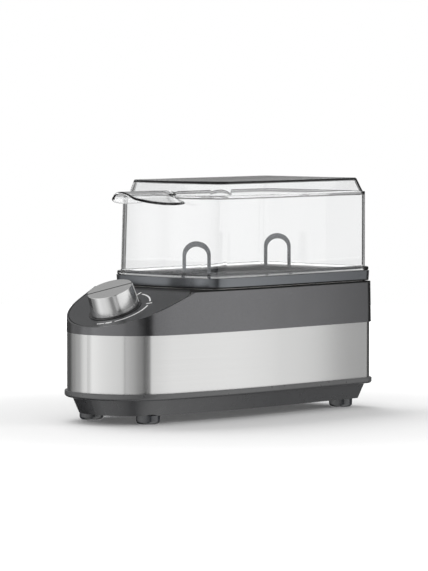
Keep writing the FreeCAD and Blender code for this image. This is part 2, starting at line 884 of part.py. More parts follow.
def make_upper_housing():
    block = housing_block("housing_block", ZERO, band_top, deck_top)
    sloped = cut("housing_sloped", block, above_panel("housing_slope", ZERO, deck_top, facia_end))
    recess_slope = above_panel("recess_slope", facia_drop, deck_top - s.facia_thickness, facia_end)
    recess = common("facia_recess", facia_outline("recess_outline", ZERO), recess_slope)
    body = cut("housing_body", sloped, recess)
    deck_low = deck_top - s.deck_thickness
    core_block = housing_block("housing_core_block", s.housing_wall, band_top - s.overrun, deck_low)
    core_top = deck_low - s.facia_thickness
    core_end = facia_end + s.housing_wall
    core_slope = above_panel("housing_core_slope", facia_drop + deck_drop, core_top, core_end)
    core = cut("housing_core", core_block, core_slope)
    shell = cut("housing_shell", body, core)
    spigot_offset = -(s.band_thickness + s.slip_clearance)
    spigot_low = band_top - s.spigot_depth
    spigot_top = band_top + s.spigot_land
    spigot_bore_offset = spigot_offset - s.rib_wall
    spigot = cut(
        "housing_spigot",
        prism("spigot_outer", NOSE, spigot_offset, spigot_low, spigot_top),
        prism("spigot_inner", NOSE, spigot_bore_offset, spigot_low - s.overrun, spigot_top + s.overrun),
    )
    solids = [shell, spigot]
    holes = []
    for index, (x, y) in enumerate(POSTS):
        if index < len(FRONT_POSTS):
            top = panel_height(x - s.post_radius) - facia_drop - deck_drop / 2
        else:
            top = s.rear_post_top
            direction = 1 if y.value > 0 else -1
            reach = s.rear_post_inset
            web_y = y if direction > 0 else y - reach
            web_low = band_top + s.overrun
            solids.append(box(
                f"housing_web_{index}", (x - s.post_radius / 2, web_y, web_low),
                s.post_radius, reach, top - web_low,
            ))
        solids.append(cylinder(
            f"housing_post_{index}", s.post_radius, top - s.post_meet_height, (x, y, s.post_meet_height),
        ))
        bore = s.screw_radius + s.thread_clearance
        low = s.post_meet_height - s.overrun
        holes.append(cylinder(f"housing_post_bore_{index}", bore, s.bore_floor + s.overrun, (x, y, low)))
    opening = prism("bowl_opening", TANK, -s.opening_inset, deck_low - s.overrun, deck_top + s.overrun)
    rebate = prism("gasket_rebate", TANK, -s.gasket_inset, deck_top - s.gasket_height, deck_top + s.overrun)
    well = cylinder("control_well", s.control_well_radius, s.housing_height, (ZERO, ZERO, ZERO))
    on_panel(well, -s.housing_height + s.facia_thickness)
    return cut("upper_housing", fuse("housing_filled", *solids), opening, rebate, well, *holes)


# Control facia: the sloping plate that closes the nose and carries the rotary control.

def make_control_facia():
    start = nose_x - s.housing_overhang_low - s.overrun
    low = deck_top - s.facia_thickness
    slab = side_view_block("facia_slab", [
        (start, panel_height(start) - facia_drop),
        (slope_station(low, facia_drop), low),
        (facia_end, low),
        (facia_end, deck_top),
        (slope_station(deck_top, ZERO), deck_top),
        (start, panel_height(start)),
    ], s.body_width)
    plate = common("facia_plate", facia_outline("facia_outline", s.facia_gap), slab)
    hole = cylinder("facia_hole", s.bush_radius + s.hole_clearance, 2 * s.facia_thickness, (ZERO, ZERO, ZERO))
    on_panel(hole, -s.facia_thickness - s.facia_thickness / 2)
    return cut("control_facia", plate, hole)


# Dial marks: thin printed arcs and ticks round the knob, as angles from the uphill direction.
# Angles are clock angles seen by someone who faces the nose.

THIN_ARC_ANGLES = [(10, 54), (72, 140), (158, 170)]
BOLD_ARC_ANGLES = (145, 155)
TICK_ANGLES = [2, 63]


def ring_sector(name, inner, outer, height, start, end):
    """Part of a flat ring about the Z axis between two clock angles."""
    wide = doc.addObject("Part::Cylinder", f"{name}_outer")
    bind(wide, "Radius", outer)
    bind(wide, "Height", height)
    wide.Angle = end - start
    wide.Placement = Placement(Vector(0, 0, 0), Rotation(Z_AXIS, -end))
    core = cylinder(f"{name}_core", inner, height + 2 * s.overrun, (ZERO, ZERO, -s.overrun))
    return cut(name, wide, core)


def make_dial_marks():
    half = s.mark_width / 2
    half_span = math.degrees(half.value / s.mark_radius.value)
    reach = s.tick_length / 2
    arcs = [(start, end, half) for start, end in THIN_ARC_ANGLES]
    arcs += [(*BOLD_ARC_ANGLES, s.mark_width)]
    arcs += [(angle - half_span, angle + half_span, reach) for angle in TICK_ANGLES]
    marks = []
    for index, (start, end, wide) in enumerate(arcs):
        marks.append(ring_sector(
            f"dial_mark_{index}", s.mark_radius - wide, s.mark_radius + wide, s.mark_height, start, end,
        ))
    return on_panel(group("dial_marks", *marks))


# Knob: a drawn metal cap on a moulded insert that grips the shaft.

def make_knob_ring():
    outer = cylinder("ring_outer", s.ring_radius, s.ring_height, (ZERO, ZERO, ZERO))
    depth = s.ring_height + 2 * s.overrun
    inner = cylinder("ring_inner", s.ring_inner_radius, depth, (ZERO, ZERO, -s.overrun))
    return on_panel(cut("knob_ring", outer, inner))


def make_knob_cap():
    top = s.knob_lift + s.knob_height
    wall = s.knob_wall
    cap = turned("cap_turned", [
        (s.knob_base_radius - wall, s.knob_lift),
        (s.knob_base_radius, s.knob_lift),
        (s.knob_top_radius, top),
        (ZERO, top),
        (ZERO, top - wall),
        (s.knob_top_radius - wall, top - wall),
    ])
    add_fillet(cap, cap.Tip, s.knob_round, at_height(top))
    return on_panel(group("knob_cap", cap))


def make_knob_insert():
    top = s.knob_lift + s.knob_height - s.knob_wall
    slope = (s.knob_base_radius - s.knob_top_radius) / s.knob_height
    web_low = top - s.insert_web
    web_top_radius = s.knob_top_radius - s.knob_wall - s.insert_gap
    web_low_radius = web_top_radius + slope * s.insert_web
    hub_low = top - s.insert_hub_drop
    body = turned("insert_turned", [
        (ZERO, hub_low),
        (s.insert_hub_radius, hub_low),
        (s.insert_hub_radius, web_low),
        (web_low_radius, web_low),
        (web_top_radius, top),
        (ZERO, top),
    ])
    bore_height = s.shaft_rise + s.slip_clearance - hub_low + s.overrun
    bore_low = hub_low - s.overrun
    bore_radius = s.shaft_radius + s.running_clearance
    bore = cylinder("insert_bore", bore_radius, bore_height, (ZERO, ZERO, bore_low))
    key = shaft_flat("insert_key", bore_height, bore_low)
    return on_panel(cut("knob_insert", body, cut("insert_keyed_bore", bore, key)))


def shaft_flat(name, height, low):
    """The block beyond the shaft's flat."""
    start = s.shaft_radius - s.shaft_flat
    length = s.shaft_flat + s.overrun
    half = s.shaft_radius + s.overrun
    return box(name, (start, -half, low), length, 2 * half, height)


def make_knob_pointer():
    """A thin light strip down the knob's side."""
    reach = s.knob_base_radius + s.overrun
    strip_low = s.knob_lift + s.knob_round
    strip_height = s.knob_height - 2 * s.knob_round
    corner = (ZERO, -s.pointer_width / 2, strip_low)
    strip = box("pointer_strip", corner, reach, s.pointer_width, strip_height)
    low = (ZERO, ZERO, s.knob_lift)
    base, top, proud = s.knob_base_radius, s.knob_top_radius, s.pointer_proud
    skin = cone("pointer_skin", base + proud, top + proud, s.knob_height, low)
    core = cone("pointer_core", base, top, s.knob_height, low)
    line = cut("pointer_line", common("pointer_plate", strip, skin), core)
    line.Placement = Placement(Vector(0, 0, 0), Rotation(Z_AXIS, -s.knob_pointer_angle.value))
    return on_panel(group("knob_pointer", line))


def make_control_shaft():
    shaft = cylinder("shaft_round", s.shaft_radius, s.shaft_rise + s.shaft_sink, (ZERO, ZERO, -s.shaft_sink))
    flat_low = s.bush_rise + s.slip_clearance
    flat = shaft_flat("shaft_flat", s.shaft_rise - flat_low + s.overrun, flat_low)
    return on_panel(cut("control_shaft", shaft, flat))


def make_rotary_control():
    low = -(s.facia_thickness + s.control_depth)
    case = centred_box("control_case", (ZERO, ZERO, low), s.control_length, s.control_width, s.control_depth)
    bush_low = -s.facia_thickness
    bush = cylinder("control_bush", s.bush_radius, s.bush_rise - bush_low, (ZERO, ZERO, bush_low))
    tags = []
    for index, side in enumerate((-1, 0, 1)):
        y = side * (s.tag_width + s.mark_width)
        tags.append(centred_box(
            f"control_tag_{index}", (-s.control_length / 2 + s.tag_width, y, low - s.tag_length),
            s.tag_thickness, s.tag_width, s.tag_length + s.overrun,
        ))
    bore_low = -s.shaft_sink - s.slip_clearance
    bore_radius = s.shaft_radius + s.running_clearance
    bore_height = s.bush_rise - bore_low + s.overrun
    bore = cylinder("control_bore", bore_radius, bore_height, (ZERO, ZERO, bore_low))
    return on_panel(cut("rotary_control", fuse("control_solid", case, bush, *tags), bore))


def make_control_nut():
    across = s.nut_across_flats
    nut = doc.addObject("Part::Prism", "nut_blank")
    nut.Polygon = 6
    bind(nut, "Circumradius", across / math.sqrt(3))
    bind(nut, "Height", s.nut_height)
    bore_radius = s.bush_radius + s.running_clearance
    bore = cylinder("nut_bore", bore_radius, s.nut_height + 2 * s.overrun, (ZERO, ZERO, -s.overrun))
    return on_panel(cut("control_nut", nut, bore))


# Heating bowl: a pressed steel dish that hangs in the deck by its flange.

def make_heating_bowl():
    flange = prism("bowl_flange", TANK, -s.bowl_flange_inset, deck_top, tray_low)
    top_offset = -(s.opening_inset + s.bowl_clearance)
    low_offset = top_offset - s.bowl_draft
    outer = frustum("bowl_outer", TANK, low_offset, bowl_low, top_offset, deck_top)
    slope = s.bowl_draft / s.bowl_depth
    inner_low = low_offset - s.bowl_sheet + slope * s.bowl_sheet
    inner_top = top_offset - s.bowl_sheet + slope * (s.bowl_sheet + s.overrun)
    inner = frustum("bowl_inner", TANK, inner_low, bowl_low + s.bowl_sheet, inner_top, tray_low + s.overrun)
    return cut("heating_bowl", fuse("bowl_solid", flange, outer), inner)


def make_bowl_gasket():
    low = deck_top - s.gasket_height
    outer = prism("gasket_outer", TANK, -(s.gasket_inset + s.gasket_clearance), low, deck_top)
    inner = prism("gasket_inner", TANK, -s.opening_inset, low - s.overrun, deck_top + s.overrun)
    return cut("bowl_gasket", outer, inner)


def make_heat_spreader():
    low = (seat_centre - s.spreader_length / 2, -s.spreader_width / 2, spreader_low)
    plate = box("spreader_plate", low, s.spreader_length, s.spreader_width, s.spreader_thickness)
    holes = []
    for index, x in enumerate(strap_stations()):
        radius = s.screw_radius + s.thread_clearance
        seat = (x, ZERO, spreader_low)
        holes.append(cylinder(f"spreader_hole_{index}", radius, s.spreader_thickness, seat))
    return cut("heat_spreader", plate, *holes)


def strap_stations():
    return [seat_centre - s.strap_pitch / 2, seat_centre + s.strap_pitch / 2]


# Tubular heating element: a hairpin under the spreader with a thin cold end on each leg.

def make_heating_element():
    bend_x = seat_centre + s.element_run / 2
    start_x = seat_centre - s.element_run / 2
    axis_height = spreader_low - s.element_radius
    body = new_body("element_tube")
    path = new_sketch(body, "XY_Plane", axis_height)
    pitch = s.element_half_pitch
    path.addGeometry([
        Part.LineSegment(Vector(start_x.value, -pitch.value), Vector(bend_x.value, -pitch.value)),
        arc((bend_x.value, 0), pitch.value, -math.pi / 2, math.pi / 2),
        Part.LineSegment(Vector(bend_x.value, pitch.value), Vector(start_x.value, pitch.value)),
    ])
    path.addConstraint(Sketcher.Constraint("Tangent", 0, 2, 1, 1))
    path.addConstraint(Sketcher.Constraint("Tangent", 1, 2, 2, 1))
    path.addConstraint(Sketcher.Constraint("Horizontal", 0))
    path.addConstraint(Sketcher.Constraint("PointOnObject", 1, 3, -1))
    fix(path, "DistanceX", -1, 1, 1, 3, size=bend_x)
    fix(path, "Radius", 1, size=pitch)
    fix(path, "DistanceX", -1, 1, 0, 1, size=start_x)
    fix(path, "DistanceX", -1, 1, 2, 2, size=start_x)
    path.addConstraint(Sketcher.Constraint("Horizontal", 2))
    profile = new_sketch(body, "YZ_Plane", start_x)
    circle(profile, -pitch, axis_height, s.element_radius)
    pipe = body.newObject("PartDesign::AdditivePipe", "element_pipe")
    pipe.Profile = profile
    pipe.Spine = (path, [])
    ends = []
    reach = s.cold_end_length + s.overrun
    for index, y in enumerate((-pitch, pitch)):
        end = cylinder(f"cold_end_{index}", s.cold_end_radius, reach, (ZERO, ZERO, ZERO))
        turn(end, Y_AXIS, as_size(90))
        ends.append(place(end, start_x - s.cold_end_length, y, axis_height))
    return fuse("heating_element", body, *ends)


def make_element_straps():
    """Two bridges that press the hairpin against the spreader."""
    straps = []
    span = 2 * (s.element_half_pitch + s.element_radius + s.slip_clearance)
    height = 2 * s.element_radius
    tube_low = spreader_low - height
    low = tube_low - s.strap_sheet
    outer_span = span + 2 * s.strap_sheet
    passing = s.strap_width + 2 * s.overrun
    for index, x in enumerate(strap_stations()):
        rise = height + s.strap_sheet
        outer = centred_box(f"strap_outer_{index}", (x, ZERO, low), s.strap_width, outer_span, rise)
        gap = centred_box(f"strap_gap_{index}", (x, ZERO, tube_low), passing, span, height + s.overrun)
        radius = s.screw_radius + s.hole_clearance
        depth = s.strap_sheet + 2 * s.overrun
        hole = cylinder(f"strap_hole_{index}", radius, depth, (x, ZERO, low - s.overrun))
        straps.append(cut(f"strap_{index}", outer, gap, hole))
    return group("element_straps", *straps)


def make_strap_screws():
    seat = spreader_low - 2 * s.element_radius - s.strap_sheet
    length = 2 * s.element_radius + s.strap_sheet + s.spreader_thickness
    screws = []
    for index, x in enumerate(strap_stations()):
        screws.append(screw(f"strap_screw_{index}", x, ZERO, seat, length))
    return group("strap_screws", *screws)


def make_thermostat():
    x = seat_centre - s.thermostat_radius
    low = spreader_low - s.thermostat_height
    can = cylinder("thermostat_can", s.thermostat_radius, s.thermostat_height, (x, ZERO, low))
    tags = []
    for index, side in enumerate((-1, 1)):
        tags.append(centred_box(
            f"thermostat_tag_{index}", (x, side * s.tag_width, low - s.tag_length),
            s.tag_thickness, s.tag_width, s.tag_length + s.overrun,
        ))
    return fuse("thermostat", can, *tags)


def fuse_axis():
    return seat_centre + s.fuse_length, spreader_low - s.fuse_clip_height / 2


def make_fuse_clip():
    x, height = fuse_axis()
    low = (x - s.fuse_length / 4, -s.fuse_clip_width / 2, spreader_low - s.fuse_clip_height)
    block = box("clip_block", low, s.fuse_length / 2, s.fuse_clip_width, s.fuse_clip_height)
    bore = cylinder("clip_bore", s.fuse_radius + s.running_clearance, s.fuse_length, (ZERO, ZERO, ZERO))
    turn(bore, Y_AXIS, as_size(90))
    place(bore, x - s.fuse_length / 2, ZERO, height)
    return cut("fuse_clip", block, bore)


def make_thermal_fuse():
    x, height = fuse_axis()
    can = cylinder("fuse_can", s.fuse_radius, s.fuse_length, (ZERO, ZERO, ZERO))
    turn(can, Y_AXIS, as_size(90))
    place(can, x - s.fuse_length / 2, ZERO, height)
    return group("thermal_fuse", can)


# Control board in the nose, on standoffs, with its parts.

board_low = base_floor + s.board_height
board_top = board_low + s.board_thickness


def board_holes():
    front = board_front + s.board_corner
    rear = board_front + s.board_length - s.board_corner
    side = s.board_width / 2 - s.board_corner
    return mirrored_pairs(front, side) + mirrored_pairs(rear, side)


def make_control_board():
    low = (board_front, -s.board_width / 2, board_low)
    plate = box("board_plate", low, s.board_length, s.board_width, s.board_thickness)
    holes = []
    for index, (x, y) in enumerate(board_holes()):
        radius = s.screw_radius + s.hole_clearance
        depth = s.board_thickness + 2 * s.overrun
        holes.append(cylinder(f"board_hole_{index}", radius, depth, (x, y, board_low - s.overrun)))
    return cut("control_board", plate, *holes)


def make_board_screws():
    screws = []
    for index, (x, y) in enumerate(board_holes()):
        head_height = s.screw_head_height
        head = cylinder(f"board_screw_head_{index}", s.screw_head_radius, head_height, (x, y, board_top))
        length = s.board_screw_length - s.overrun
        shank = cylinder(f"board_screw_shank_{index}", s.screw_radius, length, (x, y, board_top - length))
        screws.append(fuse(f"board_screw_{index}", head, shank))
    return group("board_screws", *screws)


def make_board_relay():
    x = board_front + s.board_length / 2
    low = (x, -s.board_width / 2 + s.board_corner, board_top)
    return group("board_relay", box("relay_case", low, s.relay_length / 2, s.relay_width, s.relay_height))


def make_buzzer():
    x = board_front + s.board_length / 3
    y = s.board_width / 4
    can = cylinder("buzzer_can", s.buzzer_radius, s.buzzer_height, (x, y, board_top))
    mouth = board_top + s.buzzer_height - s.overrun
    hole = cylinder("buzzer_hole", s.screw_radius, 2 * s.overrun, (x, y, mouth))
    return cut("buzzer", can, hole)


def make_board_capacitors():
    x = board_front + s.board_length / 2 + s.capacitor_radius
    cans = []
    outermost = s.board_width / 3
    for index, y in enumerate((outermost, outermost - 2 * s.capacitor_radius - s.overrun)):
        cans.append(cylinder(f"capacitor_{index}", s.capacitor_radius, s.capacitor_height, (x, y, board_top)))
    return group("board_capacitors", *cans)


def terminal_face():
    return board_front + s.board_length - s.overrun


def make_terminal_block():
    width = 2 * s.lead_pitch + s.terminal_pitch
    rear = terminal_face()
    low = (rear - s.terminal_length, -width / 2, board_top)
    block = box("terminal_body", low, s.terminal_length, width, s.terminal_height)
    sockets = []
    for index, y in enumerate(lead_offsets()):
        socket = cylinder(f"terminal_socket_{index}", s.lead_radius + s.running_clearance,
                          s.terminal_length / 2 + s.overrun, (ZERO, ZERO, ZERO))
        turn(socket, Y_AXIS, as_size(90))
        sockets.append(place(socket, rear - s.terminal_length / 2, y, board_top + s.terminal_height / 2))
    return cut("terminal_block", block, *sockets)


# Inner leads: round wires along straight runs joined by tangent arcs.

def lead(name, points, radius, bend):
    """A round wire of one radius along corners, each corner rounded to the bend radius."""
    corners = [Vector(*[as_size(value).value for value in point]) for point in points]
    edges = []
    start = corners[0]
    for before, corner, after in zip(corners, corners[1:], corners[2:]):
        back = (before - corner).normalize()
        ahead = (after - corner).normalize()
        opening = back.getAngle(ahead)
        reach = bend.value / math.tan(opening / 2)
        first, last = corner + back * reach, corner + ahead * reach
        bisector = (back + ahead).normalize()
        centre = corner + bisector * (bend.value / math.sin(opening / 2))
        middle = centre - bisector * bend.value
        edges.append(Part.LineSegment(start, first).toShape())
        edges.append(Part.Arc(first, middle, last).toShape())
        start = last
    edges.append(Part.LineSegment(start, corners[-1]).toShape())
    path = Part.Wire(edges)
    direction = (corners[1] - corners[0]).normalize()
    section = Part.Wire([Part.Circle(corners[0], direction, radius.value).toShape()])
    wire = doc.addObject("Part::Feature", name)
    wire.Shape = path.makePipeShell([section], True, False)
    return wire


def make_mains_leads():
    """Three leads from the gland, down to the base floor, forward in the clips and up to the board."""
    floor_line = base_floor + s.lead_radius
    socket_height = board_top + s.terminal_height / 2
    inside = rear_x - s.gland_length - s.overrun
    turn_down = inside - s.lead_bend
    socket = terminal_face() - s.terminal_length / 2 + s.slip_clearance
    turn_up = terminal_face() + 2 * s.lead_bend
    leads = []
    for name, y in zip(("lead_live", "lead_earth", "lead_neutral"), lead_offsets()):
        leads.append(lead(name, [
            (inside, y * (s.lead_gather_share), s.gland_height),
            (turn_down, y, s.gland_height),
            (turn_down - s.lead_bend, y, floor_line),
            (turn_up, y, floor_line),
            (turn_up - s.overrun, y, socket_height),
            (socket, y, socket_height),
        ], s.lead_radius, s.lead_bend / 2))
    return leads


def make_element_leads():
    """One lead from the board up to each cold end of the element."""
    axis_height = spreader_low - s.element_radius
    end = seat_centre - s.element_run / 2 - s.cold_end_length
    x = board_front + s.board_length - 3 * s.board_corner
    leads = []
    for name, side in (("element_lead_near", -1), ("element_lead_far", 1)):
        y = side * s.element_half_pitch
        leads.append(lead(name, [
            (x, y, board_top),
            (x, y, axis_height),
            (end, y, axis_height),
        ], s.lead_radius, s.lead_bend))
    return leads


# Seat tray: a moulded rim and floor with three open seats and two lifting hoops.

HOOP_FACING = 45


def seat_stations():
    return [seat_centre + step * s.seat_pitch for step in (-1, 0, 1)]


def hoop(name, x, y, direction):
    """An arch that stands on the tray floor, its flat side facing the direction given."""
    body = new_body(f"{name}_arch")
    sketch = new_sketch(body, "XZ_Plane")
    outer_radius = s.hoop_radius
    inner_radius = s.hoop_radius - s.hoop_leg
    outer_spring = s.hoop_height - outer_radius
    inner_spring = s.hoop_height - s.hoop_crown - inner_radius

    def half_ring(radius, spring):
        foot = radius.value
        top = spring.value
        first = sketch.GeometryCount
        sketch.addGeometry([
            Part.LineSegment(Vector(-foot, 0), Vector(foot, 0)),
            Part.LineSegment(Vector(foot, 0), Vector(foot, top)),
            arc((0, top), foot, 0, math.pi),
            Part.LineSegment(Vector(-foot, top), Vector(-foot, 0)),
        ])
        for index, kind in enumerate(("Coincident", "Tangent", "Tangent", "Coincident")):
            following = first + (index + 1) % 4
            sketch.addConstraint(Sketcher.Constraint(kind, first + index, 2, following, 1))
        for line in (first + 1, first + 3):
            sketch.addConstraint(Sketcher.Constraint("Vertical", line))
        sketch.addConstraint(Sketcher.Constraint("PointOnObject", first, 1, -1))
        sketch.addConstraint(Sketcher.Constraint("PointOnObject", first, 2, -1))
        fix_point(sketch, first + 2, 3, ZERO, spring)
        fix(sketch, "Radius", first + 2, size=radius)

    half_ring(outer_radius, outer_spring)
    add_pad(body, sketch, s.hoop_depth, symmetric=True)
    opening = new_body(f"{name}_opening")
    sketch = new_sketch(opening, "XZ_Plane")
    half_ring(inner_radius, inner_spring)
    add_pad(opening, sketch, s.hoop_depth + 2 * s.overrun, symmetric=True)
    arch = cut(name, body, opening)
    turn(arch, Z_AXIS, as_size(direction))
    return place(arch, x, y, tray_low + s.tray_floor - s.overrun / 2)


def make_egg_tray():
    low_offset = -(s.tray_rim_inset + s.tray_rim_draft)
    rim = frustum("tray_rim", TANK, low_offset, tray_low, -s.tray_rim_inset, tray_top)
    basin_offset = -(s.tray_rim_inset + s.tray_rim_width)
    basin = prism("tray_basin", TANK, basin_offset, tray_low + s.tray_floor, tray_top + s.overrun)
    bowl_slope = s.bowl_draft / s.bowl_depth
    bowl_inset = s.opening_inset + s.bowl_clearance + s.bowl_sheet + bowl_slope * s.tray_skirt_depth
    skirt_offset = -(bowl_inset + s.slip_clearance)
    skirt_low = tray_low - s.tray_skirt_depth
    skirt_top = tray_low + s.tray_floor / 2
    skirt = cut(
        "tray_skirt",
        prism("tray_skirt_outer", TANK, skirt_offset, skirt_low, skirt_top),
        prism("tray_skirt_inner", TANK, skirt_offset - s.tray_skirt_wall, skirt_low - s.overrun, tray_low),
    )
    solids = [cut("tray_dish", rim, basin), skirt]
    holes = []
    drop = s.seat_drop + s.tray_floor
    low = tray_low - s.seat_drop
    slope = (s.seat_top_radius - s.seat_low_radius) / drop
    low_radius, top_radius = s.seat_low_radius, s.seat_top_radius
    wall, past = s.seat_wall, slope * s.overrun
    passing = drop + 2 * s.overrun
    for index, x in enumerate(seat_stations()):
        solids.append(cone(f"seat_outer_{index}", low_radius + wall, top_radius + wall, drop, (x, ZERO, low)))
        start = (x, ZERO, low - s.overrun)
        holes.append(cone(f"seat_inner_{index}", low_radius - past, top_radius + past, passing, start))
    first, last = seat_stations()[0], seat_stations()[2]
    across = s.hoop_reach * cosine(s.hoop_turn)
    along = s.hoop_reach * sine(s.hoop_turn)
    solids.append(hoop("hoop_front", first - along, -across, -HOOP_FACING))
    solids.append(hoop("hoop_rear", last + along, across, -HOOP_FACING))
    return cut("egg_tray", fuse("tray_solid", *solids), *holes)


# Lid: a clear box with a flange, a ledge below its sloping shoulder and a lip to lift it by.

def make_lid():
    wall = -s.lid_wall_inset
    shoulder_low = wall - s.lid_ledge
    shoulder_high = shoulder_low - s.lid_shoulder_run
    crown_edge = shoulder_high - s.lid_crown_run
    crown_top = shoulder_top + s.lid_crown_height
    skirt_offset = -(s.tray_rim_inset + s.tray_rim_width + s.slip_clearance)
    skirt_low = tray_top - s.lid_skirt_depth
    mouth_offset = skirt_offset - s.lid_skirt_wall
    inner = wall - s.lid_sheet
    ceiling = ledge_height - s.lid_sheet
    outside = fuse(
        "lid_outside",
        prism("lid_flange", TANK, -s.lid_flange_inset, tray_top, lid_flange_top),
        prism("lid_skirt", TANK, skirt_offset, skirt_low, tray_top),
        frustum("lid_wall", TANK, wall, lid_flange_top, wall, ledge_height, LID_LEDGE),
        frustum(
            "lid_shoulder", LID_SHOULDER, shoulder_low, ledge_height, shoulder_high, shoulder_top, LID_TOP,
        ),
        frustum("lid_crown", LID_TOP, shoulder_high, shoulder_top, crown_edge, crown_top),
        lid_lip(),
    )
    inside = fuse(
        "lid_inside",
        prism("lid_mouth", TANK, mouth_offset, skirt_low - s.overrun, lid_flange_top),
        frustum("lid_inner_wall", TANK, inner, lid_flange_top, inner, ceiling, LID_LEDGE),
        frustum(
            "lid_inner_shoulder", LID_SHOULDER, shoulder_low - s.lid_sheet, ceiling,
            shoulder_high - s.lid_sheet, shoulder_top - s.lid_sheet, LID_TOP,
        ),
    )
    return cut("lid", outside, inside)


def lip_edge(sketch, crest_height, crest_radius, hollow_radius, wing_height):
    """One long edge of the lip's section: wing, hollow, crest, hollow, wing, each tangent to the next."""
    reach = crest_radius.value + hollow_radius.value
    crest = (0.0, crest_height.value - crest_radius.value)
    lean = math.radians(s.lip_crest_angle.value)
    hollow = (reach * math.sin(lean), crest[1] + reach * math.cos(lean))
    end = s.lip_half_width.value
    # A wing runs from its tip square to the radius of the hollow that it touches.
    span = math.hypot(end - hollow[0], wing_height.value - hollow[1])
    to_tip = math.atan2(wing_height.value - hollow[1], end - hollow[0])
    touch = to_tip - math.acos(hollow_radius.value / span)
    inner = (
        hollow[0] + hollow_radius.value * math.cos(touch),
        hollow[1] + hollow_radius.value * math.sin(touch),
    )
    half = math.pi / 2
    first = sketch.GeometryCount
    sketch.addGeometry([
        Part.LineSegment(Vector(-end, wing_height.value), Vector(-inner[0], inner[1])),
        arc((-hollow[0], hollow[1]), hollow_radius.value, math.pi - touch, 3 * half + lean),
        arc(crest, crest_radius.value, half - lean, half + lean),
        arc(hollow, hollow_radius.value, 3 * half - lean, touch),
        Part.LineSegment(Vector(*inner), Vector(end, wing_height.value)),
    ])
    left, left_hollow, ridge, right_hollow, right = range(first, first + 5)
    for parts in ((left, 2, left_hollow, 1), (left_hollow, 2, ridge, 2), (ridge, 1, right_hollow, 1),
                  (right_hollow, 2, right, 1)):
        sketch.addConstraint(Sketcher.Constraint("Tangent", *parts))
    fix_point(sketch, ridge, 3, ZERO, crest_height - crest_radius)
    fix(sketch, "Radius", ridge, size=crest_radius)
    centre = (crest_radius + hollow_radius) * sine(s.lip_crest_angle)
    for index, side in ((left_hollow, -1), (right_hollow, 1)):
        fix(sketch, "Radius", index, size=hollow_radius)
        fix(sketch, "DistanceX", -1, 1, index, 3, size=side * centre)
    fix_point(sketch, left, 1, -s.lip_half_width, wing_height)
    fix_point(sketch, right, 2, s.lip_half_width, wing_height)
    return left, right


def lid_lip():
    """A clear lip on the lid's front, bent to a ridge in the middle, to lift the lid by."""
    crest = ledge_height + s.lip_crest_rise
    body = new_body("lip_section")
    middle = tank_front - s.lip_lead
    root = tank_front + s.lip_root_depth
    tip = middle - s.lip_reach
    sketch = new_sketch(body, "YZ_Plane", tip)
    wing = crest - s.lip_wing_fall
    radius = s.lip_crest_radius
    upper = lip_edge(sketch, crest, radius, radius, wing)
    sheet_of_lip = s.lip_sheet
    lower = lip_edge(
        sketch, crest - sheet_of_lip, radius - sheet_of_lip, radius + sheet_of_lip, wing - sheet_of_lip,
    )
    for high, low, end in ((upper[0], lower[0], 1), (upper[1], lower[1], 2)):
        start, stop = sketch.getPoint(high, end), sketch.getPoint(low, end)
        side = sketch.addGeometry(Part.LineSegment(start, stop))
        sketch.addConstraint(Sketcher.Constraint("Coincident", side, 1, high, end))
        sketch.addConstraint(Sketcher.Constraint("Coincident", side, 2, low, end))
    add_pad(body, sketch, root - tip)
    plan = doc.addObject("Part::Ellipsoid", "lip_plan")
    bind(plan, "Radius1", 2 * s.lip_reach)
    bind(plan, "Radius2", s.lip_reach)
    bind(plan, "Radius3", s.lip_half_width)
    place(plan, middle, ZERO, crest - s.lip_wing_fall / 2)
    return common("lid_lip", body, plan)


NODES = [
    make_base_tray(),
    make_steel_band(),
    make_cord_gland(),
    make_upper_housing(),
    make_control_facia(),
    make_dial_marks(),
    make_knob_ring(),
    make_knob_cap(),
    make_knob_insert(),
    make_knob_pointer(),
    make_control_shaft(),
    make_rotary_control(),
    make_control_nut(),
    make_heating_bowl(),
    make_bowl_gasket(),
    make_heat_spreader(),
    make_heating_element(),
    make_element_straps(),
    make_strap_screws(),
    make_thermostat(),
    make_fuse_clip(),
    make_thermal_fuse(),
    make_control_board(),
    make_board_screws(),
    make_board_relay(),
    make_buzzer(),
    make_board_capacitors(),
    make_terminal_block(),
    make_egg_tray(),
    make_lid(),
    make_base_screws(),
]
NODES += make_mains_leads()
NODES += make_element_leads()
for foot_name, (foot_x, foot_y) in zip(
        ("foot_front_far", "foot_front_near", "foot_rear_far", "foot_rear_near"), FEET):
    NODES.append(make_foot(foot_name, foot_x, foot_y))

doc.recompute()

for item in doc.Objects:
    if "Invalid" in item.State or "Error" in item.State:
        raise RuntimeError(f"{item.Label} failed: {item.State}")
for node in NODES:
    if node.Shape.isNull() or not node.Shape.isValid() or not node.Shape.Solids:
        raise RuntimeError(f"{node.Label} has no valid solid")

os.makedirs("parts", exist_ok=True)
for node in NODES:
    node.Shape.exportStep(f"parts/{node.Label}.step")
    print(f"{node.Label}: {len(node.Shape.Solids)} solid(s), {node.Shape.Volume:.0f} mm3")
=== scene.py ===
import math

import bmesh
import bpy
from mathutils import Matrix, Vector


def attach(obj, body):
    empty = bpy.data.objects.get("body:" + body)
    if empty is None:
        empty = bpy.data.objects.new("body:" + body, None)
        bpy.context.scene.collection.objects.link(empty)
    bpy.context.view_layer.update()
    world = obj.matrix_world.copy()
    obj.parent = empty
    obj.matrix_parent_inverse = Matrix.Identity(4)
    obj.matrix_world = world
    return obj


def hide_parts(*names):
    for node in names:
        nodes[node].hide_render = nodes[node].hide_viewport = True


# A small countertop steam boiler on a white studio floor. Metres, +Z up, nose towards -X.

